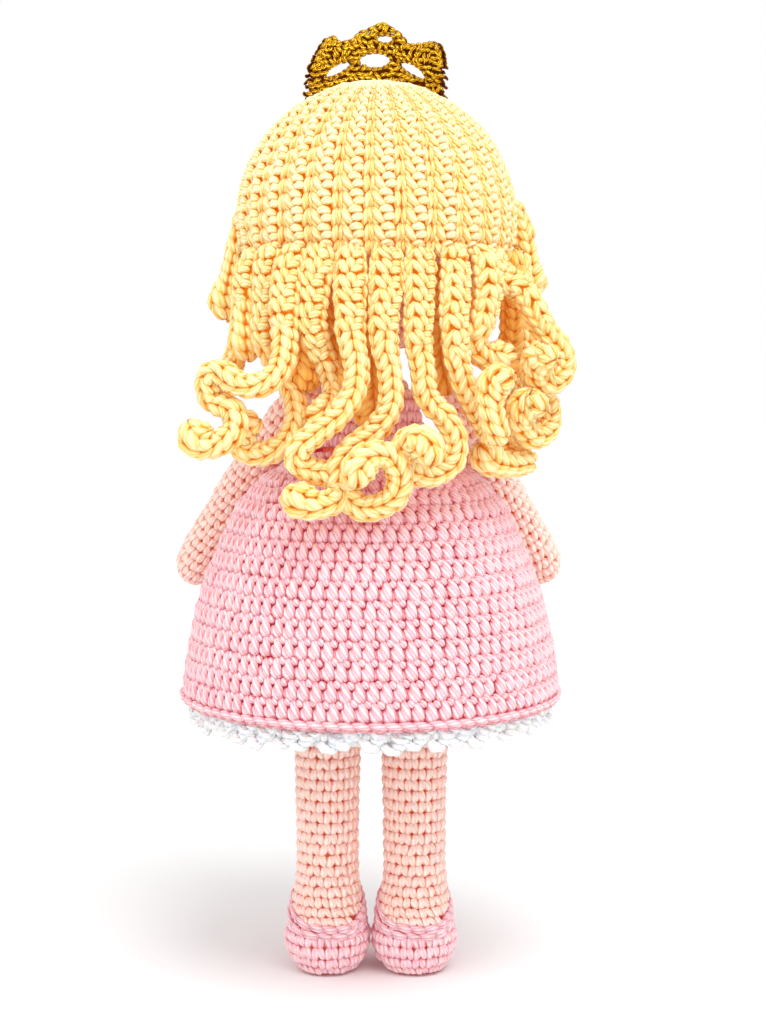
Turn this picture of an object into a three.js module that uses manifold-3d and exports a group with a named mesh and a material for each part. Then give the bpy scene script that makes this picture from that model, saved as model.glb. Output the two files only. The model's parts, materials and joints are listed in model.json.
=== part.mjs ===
// A crocheted doll standing in slippers: stuffed limbs, a flared dress over a
// petticoat, a cap of hair that ends in loose curls, and a small open crown.
// Millimetres, +Z up. The doll faces -Y, its left side is +X, and the floor is z = 0.

import * as THREE from 'three';
import { mergeVertices } from 'three/addons/utils/BufferGeometryUtils.js';
import Module from 'manifold-3d';

const wasm = await Module();
wasm.setup();

// Driving dimensions: clearances
const gap = 0.3;
const overrun = 6;
const fabric = 2;

// Driving dimensions: head
const headRadius = 46.5;
const headHeight = 262;
const headLean = -2;
const neckRadius = 9.4;
const neckHoleClearance = 0.4;
const neckReach = 3.5;
const neckRootRise = 5;

// Driving dimensions: face
const eyeRadius = 4;
const eyeDepth = 2.6;
const eyeSpacing = 27;
const eyeDrop = 7;
const eyeShankRadius = 1.3;
const eyeShankLength = 6.5;
const washerRadius = 5;
const washerThickness = 1;
const washerInset = 3.2;
const threadRadius = 0.6;
const smileWidth = 11;
const smileDrop = 17;
const smileSag = 2.4;
const noseWidth = 5;
const noseDrop = 11;

// Driving dimensions: hair
const hairThickness = 2.2;
const ribCount = 28;
const ribDepth = 0.7;
const capEdgeDrop = 16.5;
const faceHalfWidth = 35;
const faceTop = 22;
const faceCentreDrop = 12;
const lockHalfWidth = 5.3;
const lockHalfDepth = 3.5;
const lockSides = 6;

// Driving dimensions: crown
const crownRadius = 30;
const crownSetBack = 18;
const crownThickness = 2.4;
const crownBand = 5.5;
const crownPeak = 21;
const crownHalfSpan = 27;
const archWidth = 9;
const archHeight = 4.4;

// Driving dimensions: body and dress
const shoulderHeight = 202.5;
const shoulderHalfSpan = 22.5;
const shoulderFace = 17.6;
const shoulderForward = 3;
const hipRadius = 26.5;
const bodyBottom = 126;
const dressWaist = 182;
const bodiceTop = 199;
const hemRadius = 65.5;
const hemHeight = 97;
const skirtThickness = 2.6;
const hemCordRadius = 1.5;
const petticoatThickness = 1.6;
const petticoatDrop = 7.5;
const petticoatTop = 146;
const scallopCount = 16;
const scallopDepth = 1;

// Driving dimensions: legs and slippers
const legSpread = 15.2;
const legTopRadius = 11.65;
const ankleRadius = 10.25;
const legTop = 136;
const footHalfWidth = 14.6;
const toeReach = 27.5;
const heelReach = 15;
const footHeight = 27;
const slipperHeelHeight = 11.5;
const slipperRise = 0.35;
const rimRadius = 1.2;
const insoleThickness = 1.6;
const wireRadius = 1.2;
const wireTop = 165;

// Driving dimensions: arms
const armRadius = 7.9;
const armRootRadius = 6.6;
const armLength = 92;
const armBow = 5;
const armSplayLeft = 29.6;
const armSplayRight = 28.2;
const armLeadLeft = 28;
const armLeadRight = 30;
const shoulderThreadRadius = 0.8;

// Driving dimensions: inner rod
const rodRadius = 3;
const rodBottom = 186;
const rodTop = 246;

const capRadius = headRadius + gap + hairThickness;
const headCentre = new THREE.Vector3(headLean, 0, headHeight);
const rad = THREE.MathUtils.degToRad;

// Materials: plain stand-ins for the yarns and the small hard pieces
function material(color, roughness, metalness = 0) {
  return new THREE.MeshStandardMaterial({ color, roughness, metalness });
}
const yarn = {
  skin: material(0xf2b9a0, 0.85),
  hair: material(0xf8d283, 0.85),
  dress: material(0xf4b4c0, 0.85),
  slipper: material(0xe8a0ae, 0.85),
  white: material(0xf6f2ee, 0.85),
  gold: material(0xc89a2e, 0.35, 1),
  thread: material(0xc26a62, 0.8),
  stuffing: material(0xf5f5f2, 0.95),
  eye: material(0x151210, 0.12),
  plastic: material(0xe6e6e2, 0.5),
  wood: material(0xcfae7b, 0.6),
  wire: material(0xb9bcc0, 0.35, 1),
  card: material(0xb89468, 0.8),
};

// Solids: a closed geometry goes in, and every cut or join comes back as one
function signedVolume(geometry) {
  const place = geometry.getAttribute('position');
  const index = geometry.getIndex();
  const corner = [new THREE.Vector3(), new THREE.Vector3(), new THREE.Vector3()];
  let total = 0;
  for (let i = 0; i < index.count; i += 3) {
    corner.forEach((c, k) => c.fromBufferAttribute(place, index.getX(i + k)));
    total += corner[0].dot(corner[1].clone().cross(corner[2]));
  }
  return total / 6;
}

function solid(geometry) {
  let shape = geometry.clone();
  shape.deleteAttribute('normal');
  shape.deleteAttribute('uv');
  shape = mergeVertices(shape, gap / 1000);
  const triVerts = new Uint32Array(shape.getIndex().array);
  if (signedVolume(shape) < 0) {
    for (let i = 0; i < triVerts.length; i += 3) {
      [triVerts[i], triVerts[i + 1]] = [triVerts[i + 1], triVerts[i]];
    }
  }
  const vertProperties = new Float32Array(shape.getAttribute('position').array);
  const mesh = new wasm.Mesh({ numProp: 3, vertProperties, triVerts });
  mesh.merge();
  return new wasm.Manifold(mesh);
}

function geometryOf(shape) {
  const mesh = shape.getMesh();
  const count = mesh.vertProperties.length / mesh.numProp;
  const place = new Float32Array(count * 3);
  for (let i = 0; i < count; i += 1) {
    for (let k = 0; k < 3; k += 1) {
      place[i * 3 + k] = mesh.vertProperties[i * mesh.numProp + k];
    }
  }
  const geometry = new THREE.BufferGeometry();
  geometry.setAttribute('position', new THREE.BufferAttribute(place, 3));
  geometry.setIndex(new THREE.BufferAttribute(new Uint32Array(mesh.triVerts), 1));
  geometry.computeVertexNormals();
  return geometry;
}

// A profile of [radius, height] points turned round the Z axis
function turned(profile, segments) {
  const points = profile.map(([r, z]) => new THREE.Vector2(r, z));
  const geometry = new THREE.LatheGeometry(points, segments);
  geometry.rotateX(Math.PI / 2);
  return geometry;
}

function ball(radius, across, down) {
  const geometry = new THREE.SphereGeometry(radius, across, down);
  geometry.rotateX(Math.PI / 2);
  return geometry;
}

// A faceted ball that clears a true one, and one that stays inside a faceted shell
function roomBall(radius, across, down) {
  return ball(radius / Math.cos(Math.PI / across) / Math.cos(Math.PI / down / 2), across, down);
}
function fillingBall(radius, across, down) {
  return ball(radius * Math.cos(Math.PI / across) * Math.cos(Math.PI / down / 2) - gap, across, down);
}

function rod(radius, bottom, top, sides, x = 0, y = 0) {
  const geometry = new THREE.CylinderGeometry(radius, radius, top - bottom, sides);
  geometry.rotateX(Math.PI / 2);
  geometry.translate(x, y, (bottom + top) / 2);
  return geometry;
}

// The same outline moved inwards, for the inside of a knitted wall
function inset(outline, distance) {
  return outline.map(([r, z], i) => {
    const before = outline[Math.max(i - 1, 0)];
    const after = outline[Math.min(i + 1, outline.length - 1)];
    const run = new THREE.Vector2(after[0] - before[0], after[1] - before[1]).normalize();
    const edge = r === 0 ? new THREE.Vector2(Math.sign(run.x || 1), 0) : run;
    return [Math.max(r - edge.y * distance, 0), z + edge.x * distance];
  });
}

function shellOf(outer, distance) {
  return [...outer, ...inset(outer, distance).reverse(), outer[0]];
}

// Rings of points joined into one closed skin, with a fan at each end
function skinned(rings) {
  const sides = rings[0].length;
  const place = [];
  const index = [];
  rings.forEach((ring) => ring.forEach((p) => place.push(p.x, p.y, p.z)));
  for (let i = 0; i + 1 < rings.length; i += 1) {
    for (let j = 0; j < sides; j += 1) {
      const a = i * sides + j;
      const b = i * sides + (j + 1) % sides;
      index.push(a, b, b + sides, a, b + sides, a + sides);
    }
  }
  const last = (rings.length - 1) * sides;
  for (let j = 1; j + 1 < sides; j += 1) {
    index.push(0, j + 1, j);
    index.push(last, last + j, last + j + 1);
  }
  const geometry = new THREE.BufferGeometry();
  geometry.setAttribute('position', new THREE.Float32BufferAttribute(place, 3));
  geometry.setIndex(index);
  return geometry;
}

// A cut can leave a scrap thinner than a thread beside the piece itself
function mainBody(shape) {
  return shape.decompose().reduce((a, b) => (a.volume() > b.volume() ? a : b));
}

function bored(shape, ...bores) {
  return bores.reduce((left, bore) => left.subtract(bore), shape);
}

// Torso: a pear that narrows to the neck, hollow and open at the top
const torsoShares = [
  [0, 0], [0.5, 0.012], [0.86, 0.08], [1, 0.22], [0.94, 0.38], [0.755, 0.565],
  [0.64, 0.655], [0.57, 0.72], [0.545, 0.8],
];
const neckBase = shoulderHeight + neckRootRise;
const neckTop = headHeight - Math.sqrt(headRadius ** 2 - neckRadius ** 2) + neckReach;
const torsoSpan = neckTop - bodyBottom;
const torsoOutline = [
  ...torsoShares.map(([r, z]) => [r * hipRadius, bodyBottom + z * torsoSpan]),
  [neckRadius + fabric / 2, neckBase],
  [neckRadius, neckBase + fabric],
  [neckRadius, neckTop],
];
const torsoSides = 18;
const torsoSolid = solid(turned([...torsoOutline, [0, neckTop]], torsoSides));
const torsoAround = solid(turned(
  [...inset(torsoOutline, -gap).slice(0, -1), [neckRadius + gap, neckTop + gap], [0, neckTop + gap]],
  torsoSides,
));
const legSides = [{ name: 'left', side: 1 }, { name: 'right', side: -1 }];
const wireBores = legSides.map(({ side }) => solid(
  rod(wireRadius + gap, bodyBottom - overrun, wireTop + gap, 8, side * legSpread),
));
const rodBore = solid(rod(rodRadius + gap, rodBottom - gap, rodTop + gap, 10));
const torsoInside = inset(torsoOutline, fabric);
const torsoCavity = solid(turned(
  [...torsoInside.slice(0, -1), [neckRadius - fabric, neckTop + overrun], [0, neckTop + overrun]],
  torsoSides,
));
const torso = bored(torsoSolid.subtract(torsoCavity), ...wireBores);
const fillOutline = inset(torsoOutline, fabric + gap);
const torsoStuffing = bored(
  solid(turned([...fillOutline, [0, fillOutline.at(-1)[1]]], torsoSides)),
  ...wireBores,
  rodBore,
);

// Dress: a fitted bodice, a bell of a skirt, its corded hem and a petticoat
const bodiceOutline = inset(torsoOutline, -gap).filter(([, z]) => z > dressWaist && z < bodiceTop);
const bodiceLift = (z) => [radiusOn(torsoOutline, z) + gap, z];
function radiusOn(outline, z) {
  for (let i = 0; i + 1 < outline.length; i += 1) {
    const [r0, z0] = outline[i];
    const [r1, z1] = outline[i + 1];
    if (z >= z0 && z <= z1) {
      return r0 + ((r1 - r0) * (z - z0)) / (z1 - z0);
    }
  }
  return 0;
}
const bodiceInner = [bodiceLift(dressWaist + gap), ...bodiceOutline, bodiceLift(bodiceTop)];
const bodice = solid(turned(
  [...inset(bodiceInner, -fabric), ...bodiceInner.slice().reverse(), inset(bodiceInner, -fabric)[0]],
  24,
));

const skirtShares = [
  [1, 0], [0.978, 0.165], [0.92, 0.373], [0.87, 0.494], [0.802, 0.621], [0.718, 0.765],
  [0.588, 0.877], [0.454, 0.938], [0.36, 1],
];
const skirtSpan = dressWaist - hemHeight;
const skirtOuter = skirtShares.map(([r, z]) => [r * hemRadius, hemHeight + z * skirtSpan]);
const skirtInner = inset(skirtOuter, skirtThickness);
const waistHole = radiusOn(torsoOutline, dressWaist - skirtThickness) + gap;
skirtInner[skirtInner.length - 1] = [waistHole, dressWaist - skirtThickness];
skirtOuter.push([waistHole, dressWaist]);
const bellSides = scallopCount * 2;
const skirt = solid(turned([...skirtOuter, ...skirtInner.slice().reverse(), skirtOuter[0]], bellSides));
const skirtAround = solid(turned(
  [...inset(skirtOuter, -gap), [0, dressWaist + gap], [0, hemHeight - overrun],
    [hemRadius + gap, hemHeight - overrun], inset(skirtOuter, -gap)[0]],
  bellSides,
));

const hemCentre = [hemRadius - hemCordRadius + gap, hemHeight - hemCordRadius - gap];
const hemCord = new THREE.TorusGeometry(hemCentre[0], hemCordRadius, 5, bellSides);
hemCord.translate(0, 0, hemCentre[1]);

const petticoatBottom = hemHeight - petticoatDrop;
function petticoatGeometry() {
  const lining = inset(skirtOuter.slice(0, -1), skirtThickness + gap + gap);
  const outer = lining.filter(([, z]) => z < petticoatTop && z > hemHeight);
  outer.unshift([lining[0][0] - gap, petticoatBottom]);
  const geometry = turned(shellOf(outer, petticoatThickness), bellSides);
  const place = geometry.getAttribute('position');
  for (let i = 0; i < place.count; i += 1) {
    if (place.getZ(i) < hemHeight - scallopDepth) {
      const angle = Math.atan2(place.getY(i), place.getX(i));
      const wave = Math.cos(angle * scallopCount);
      place.setZ(i, place.getZ(i) + scallopDepth * wave);
    }
  }
  return geometry;
}

// Legs: a tube that swells to the thigh and spreads into the heel and instep
const footShares = [
  [0, 0.6, 0.76, 0.62], [0.11, 0.8, 0.87, 0.82], [0.22, 0.93, 0.96, 0.94], [0.36, 1, 1, 1],
  [0.55, 0.975, 0.91, 0.975], [0.74, 0.88, 0.72, 0.9], [0.9, 0.76, 0.49, 0.78],
];
const footSides = 16;
function footRings(shrink) {
  return footShares.map(([height, width, front, back]) => {
    const ring = [];
    for (let i = 0; i < footSides; i += 1) {
      const angle = (i / footSides) * Math.PI * 2;
      const reach = Math.sin(angle) < 0 ? front * toeReach : back * heelReach;
      ring.push(new THREE.Vector3(
        Math.cos(angle) * (width * footHalfWidth - shrink),
        Math.sin(angle) * (reach - shrink),
        Math.max(height * footHeight, shrink),
      ));
    }
    return ring;
  });
}
const foot = solid(skinned(footRings(0)));
const footInside = solid(skinned(footRings(fabric)));
const footFilling = solid(skinned(footRings(fabric + gap * 3)));

const legSpan = legTop - slipperHeelHeight;
const legShares = [
  [0.9, 0], [0.86, 0.08], [0.88, 0.12], [0.925, 0.3], [0.98, 0.55], [1, 0.75], [0.97, 0.93], [0.84, 1],
];
const legOutline = legShares.map(([r, z]) => [
  Math.max(r * legTopRadius, ankleRadius - gap),
  slipperHeelHeight + z * legSpan,
]);
const legColumn = solid(turned([[0, slipperHeelHeight], ...legOutline, [0, legTop]], 14));
const legAround = solid(turned(
  [[0, slipperHeelHeight - gap * 2], [legOutline[0][0] + gap, slipperHeelHeight - gap * 2],
    ...inset(legOutline, -gap), [0, legTop]],
  14,
));
const legBore = solid(turned(
  [[0, slipperHeelHeight - overrun], [ankleRadius - fabric, slipperHeelHeight - overrun],
    ...inset(legOutline, fabric).slice(1, -1),
    [legOutline.at(-1)[0] - fabric, legTop + overrun], [0, legTop + overrun]],
  14,
));
const legFillOutline = inset(legOutline, fabric + gap).slice(1, -1);
const legFill = solid(turned(
  [[0, legFillOutline[0][1]], ...legFillOutline, [0, legFillOutline.at(-1)[1]]],
  12,
));

// Everything above the slipper's mouth, which is level in front and dips to the heel
const mouthLevel = footHeight * footShares.at(-1)[0] - gap;
function aboveMouth(lift) {
  const reach = footHeight + toeReach + heelReach;
  const slab = new THREE.BoxGeometry(reach * 2, reach * 2, reach * 2);
  slab.translate(0, 0, reach + lift);
  const slanted = slab.clone();
  slanted.rotateX(-Math.atan(slipperRise));
  slanted.translate(0, heelReach, slipperHeelHeight);
  slab.translate(0, 0, mouthLevel);
  return solid(slab).add(solid(slanted));
}
const mouthGap = aboveMouth(0);
const fillingMouth = aboveMouth(-gap * 2);
const mouthTop = aboveMouth(rimRadius * 2 + gap * 3);

const heel = foot.intersect(mouthTop);
const heelAround = foot.intersect(aboveMouth(rimRadius * 2 + gap * 2));
const legUncut = legColumn.add(heel).subtract(legBore);

// Round the slipper's mouth: where the slanted plane meets the foot
function rimGeometry() {
  const rings = [];
  const steps = 16;
  for (let i = 0; i < steps; i += 1) {
    const angle = (i / steps) * Math.PI * 2;
    const spot = rimPoint(angle);
    const out = new THREE.Vector3(Math.cos(angle), Math.sin(angle), 0);
    const up = new THREE.Vector3(0, spot.z < mouthLevel ? slipperRise : 0, 1).normalize();
    const ring = [];
    for (let k = 0; k < 6; k += 1) {
      const turn = (k / 6) * Math.PI * 2;
      ring.push(spot.clone()
        .addScaledVector(out, Math.cos(turn) * rimRadius)
        .addScaledVector(up, Math.sin(turn) * rimRadius + rimRadius + gap * 2));
    }
    rings.push(ring);
  }
  return looped(rings);
}
const rim = () => solid(rimGeometry()).subtract(legAround).subtract(heelAround);

function footRadius(angle, z) {
  const shares = footShares;
  const level = z / footHeight;
  let k = 0;
  while (k + 2 < shares.length && shares[k + 1][0] < level) {
    k += 1;
  }
  const t = THREE.MathUtils.clamp((level - shares[k][0]) / (shares[k + 1][0] - shares[k][0]), 0, 1);
  const mix = (n) => shares[k][n] + (shares[k + 1][n] - shares[k][n]) * t;
  const width = mix(1) * footHalfWidth;
  const reach = Math.sin(angle) < 0 ? mix(2) * toeReach : mix(3) * heelReach;
  return new THREE.Vector2(Math.cos(angle) * width, Math.sin(angle) * reach);
}

function rimPoint(angle) {
  let z = slipperHeelHeight;
  let spot = footRadius(angle, z);
  for (let i = 0; i < 12; i += 1) {
    z = Math.min(slipperHeelHeight + (heelReach - spot.y) * slipperRise, mouthLevel);
    spot = footRadius(angle, z);
  }
  return new THREE.Vector3(spot.x, spot.y, z);
}

function looped(rings) {
  const sides = rings[0].length;
  const place = [];
  const index = [];
  rings.forEach((ring) => ring.forEach((p) => place.push(p.x, p.y, p.z)));
  for (let i = 0; i < rings.length; i += 1) {
    for (let j = 0; j < sides; j += 1) {
      const next = ((i + 1) % rings.length) * sides;
      const a = i * sides + j;
      const b = i * sides + (j + 1) % sides;
      index.push(a, next + j, next + (j + 1) % sides, a, next + (j + 1) % sides, b);
    }
  }
  const geometry = new THREE.BufferGeometry();
  geometry.setAttribute('position', new THREE.Float32BufferAttribute(place, 3));
  geometry.setIndex(index);
  return geometry;
}

const insoleTop = fabric + gap + insoleThickness;
const belowInsole = solid(rod(toeReach + overrun, -overrun, insoleTop + gap, 12));
const insoleSlab = solid(rod(toeReach + overrun, fabric + gap, insoleTop, 12));
const insole = footFilling.intersect(insoleSlab);
const slipper = mainBody(bored(foot, mouthGap, footInside.subtract(mouthGap), legAround));
const legWireBore = solid(rod(wireRadius + gap, insoleTop, wireTop, 8));
const footStuffing = bored(footFilling, fillingMouth, legAround, belowInsole, legWireBore);

// Arms: built hanging from the shoulder, splayed sideways, then swung forward
const armShares = [
  [0.7, -0.07], [0.94, -0.035], [1, 0.02], [1.02, 0.15], [1.1, 0.5], [1.08, 0.78], [1.12, 0.88],
  [1, 0.945], [0.68, 0.985], [0, 1],
];
function armOutline(length, wall) {
  const most = armRadius / (armRootRadius * 1.12);
  return armShares.map(([r, t]) => [
    Math.max(r * armRootRadius * (t > 0.3 ? most + 0.06 : 1) - (r ? wall : 0), 0),
    -t * (length - wall),
  ]);
}
function armSolid(length, wall, sides) {
  const outline = armOutline(length, wall);
  const lid = [0, outline[0][1]];
  const geometry = turned([lid, ...outline].reverse(), sides);
  const place = geometry.getAttribute('position');
  for (let i = 0; i < place.count; i += 1) {
    const share = THREE.MathUtils.clamp(-place.getZ(i) / length, 0, 1);
    place.setY(i, place.getY(i) - armBow * Math.sin(share * Math.PI));
  }
  return solid(geometry);
}
function armPieces(length, splay, side) {
  const lean = side * splay;
  const inside = shoulderFace - shoulderHalfSpan;
  const keep = new THREE.BoxGeometry(length * 2, length * 2, length * 2);
  keep.translate(side * (length + inside), 0, 0);
  const outward = solid(keep);
  const place = (shape) => shape.rotate([0, -lean, 0]);
  const outer = place(armSolid(length, 0, 12)).intersect(outward);
  const hollow = place(armSolid(length, fabric, 10));
  const filling = place(armSolid(length, fabric + gap * 2, 10)).intersect(outward);
  const across = armRootRadius / Math.cos(rad(splay)) + fabric;
  const threadRun = new THREE.CylinderGeometry(
    shoulderThreadRadius, shoulderThreadRadius, across - inside, 8,
  );
  threadRun.rotateZ(Math.PI / 2);
  threadRun.translate(side * (across + inside) / 2, 0, 0);
  const bore = new THREE.CylinderGeometry(
    shoulderThreadRadius + gap, shoulderThreadRadius + gap, (across + overrun) * 2, 8,
  );
  bore.rotateZ(Math.PI / 2);
  const hole = solid(bore);
  return {
    cover: bored(outer, hollow, hole),
    filling: filling.subtract(hole),
    thread: solid(threadRun),
  };
}

// Head: a hollow ball, open where the neck goes in, with its stuffing
function arc(radius, from, to, steps) {
  const points = [];
  for (let i = 0; i <= steps; i += 1) {
    const angle = from + ((to - from) * i) / steps;
    points.push([Math.max(radius * Math.cos(angle), 0), radius * Math.sin(angle)]);
  }
  return points;
}
const neckHole = neckRadius + neckHoleClearance;
function headGeometry() {
  const outerFrom = -Math.acos(neckHole / headRadius);
  const innerFrom = -Math.acos(neckHole / (headRadius - fabric));
  const outer = arc(headRadius, outerFrom, Math.PI / 2, 9);
  const inner = arc(headRadius - fabric, innerFrom, Math.PI / 2, 7);
  return turned([...outer, ...inner.reverse(), outer[0]], 20);
}
const toHead = [-headCentre.x, -headCentre.y, -headCentre.z];
const neckAround = torsoAround.translate(toHead);
const headSolid = solid(headGeometry()).subtract(neckAround);
const headAround = headSolid.scale(1 + gap / headRadius);
const headFillSides = 16;
const headFillRows = 10;
const headFill = solid(fillingBall(headRadius - fabric, headFillSides, headFillRows))
  .subtract(neckAround)
  .subtract(rodBore.translate(toHead));

// Eyes: a domed button whose stem goes through the head to a washer
const eyeReach = Math.sqrt(headRadius ** 2 - (eyeSpacing / 2) ** 2 - eyeDrop ** 2);
function eyeTurn(side) {
  const look = new THREE.Vector3(side * eyeSpacing / 2, -eyeReach, -eyeDrop).normalize();
  return new THREE.Quaternion().setFromUnitVectors(new THREE.Vector3(0, 0, 1), look);
}
function eyeGeometry(side) {
  const base = headRadius + gap;
  const dome = arc(1, 0, Math.PI / 2, 4).map(([r, z]) => [r * eyeRadius, base + z * eyeDepth]);
  const stem = [[0, base - eyeShankLength], [eyeShankRadius, base - eyeShankLength], [eyeShankRadius, base]];
  return turned([...stem, ...dome], 14).applyQuaternion(eyeTurn(side));
}
function washerGeometry(side) {
  const top = headRadius - washerInset;
  const hole = eyeShankRadius + gap;
  const ring = [
    [hole, top - washerThickness], [washerRadius, top - washerThickness],
    [washerRadius, top], [hole, top], [hole, top - washerThickness],
  ];
  return turned(ring, 12).applyQuaternion(eyeTurn(side));
}
function eyeRoom(side) {
  const top = headRadius - washerInset + gap;
  const bottom = headRadius - eyeShankLength - gap;
  const room = turned([
    [0, bottom], [washerRadius + gap, bottom], [washerRadius + gap, top],
    [eyeShankRadius + gap, top], [eyeShankRadius + gap, headRadius + overrun], [0, headRadius + overrun],
  ], 12);
  return solid(room.applyQuaternion(eyeTurn(side)));
}
const eyeRooms = legSides.map(({ side }) => eyeRoom(side));
const headCover = bored(headSolid, ...eyeRooms);
const headStuffing = bored(headFill, ...eyeRooms);

// Threads of the mouth and nose lie on the skin
function onSkin(x, z, lift) {
  const reach = headRadius + gap + lift;
  return new THREE.Vector3(x, -Math.sqrt(reach ** 2 - x ** 2 - z ** 2), z);
}
function stitched(width, drop, sag, radius) {
  const steps = 8;
  const rings = [];
  for (let i = 0; i <= steps; i += 1) {
    const t = (i / steps) * 2 - 1;
    const spot = onSkin((t * width) / 2, -drop - sag * (1 - t * t), radius * 0.4);
    const ring = [];
    for (let k = 0; k < 6; k += 1) {
      const angle = (k / 6) * Math.PI * 2;
      ring.push(new THREE.Vector3(0, Math.cos(angle) * radius, Math.sin(angle) * radius).add(spot));
    }
    rings.push(ring);
  }
  return geometryOf(solid(skinned(rings)).subtract(headAround));
}

// Hair cap: worked ribs that run from the crown of the head to the edge
function capGeometry() {
  const around = ribCount * 2;
  const down = 9;
  const rings = [];
  const lowest = -Math.asin((capEdgeDrop + overrun) / capRadius);
  for (let i = 0; i <= down; i += 1) {
    const angle = lowest + ((Math.PI / 2 - lowest) * i) / (down + 0.4);
    const ring = [];
    for (let k = 0; k < around; k += 1) {
      const turn = (k / around) * Math.PI * 2;
      const groove = k % 2 ? ribDepth * Math.cos(angle) : 0;
      const r = (capRadius - groove) * Math.cos(angle);
      ring.push(new THREE.Vector3(
        r * Math.cos(turn), r * Math.sin(turn), (capRadius - groove) * Math.sin(angle),
      ));
    }
    rings.push(ring);
  }
  return skinned(rings);
}
function faceCutter(grow) {
  const cutter = new THREE.CylinderGeometry(1, 1, capRadius + overrun, 28);
  const width = faceHalfWidth - grow;
  const height = faceTop + faceCentreDrop - grow;
  cutter.scale(width, 1, height);
  cutter.translate(0, -(capRadius + overrun) / 2, -faceCentreDrop);
  return solid(cutter);
}
function lowerCutter(level) {
  const box = new THREE.BoxGeometry(capRadius * 4, capRadius * 4, capRadius * 4);
  box.translate(0, 0, level - capRadius * 2);
  return solid(box);
}
const roomSides = 24;
const roomRows = 12;
const skinBall = solid(roomBall(headRadius + gap, roomSides, roomRows));
const cap = bored(solid(capGeometry()), skinBall, faceCutter(0), lowerCutter(-capEdgeDrop));
const capAround = bored(
  solid(roomBall(capRadius + gap, roomSides, roomRows)),
  faceCutter(gap),
  lowerCutter(-capEdgeDrop - gap),
);

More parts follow.
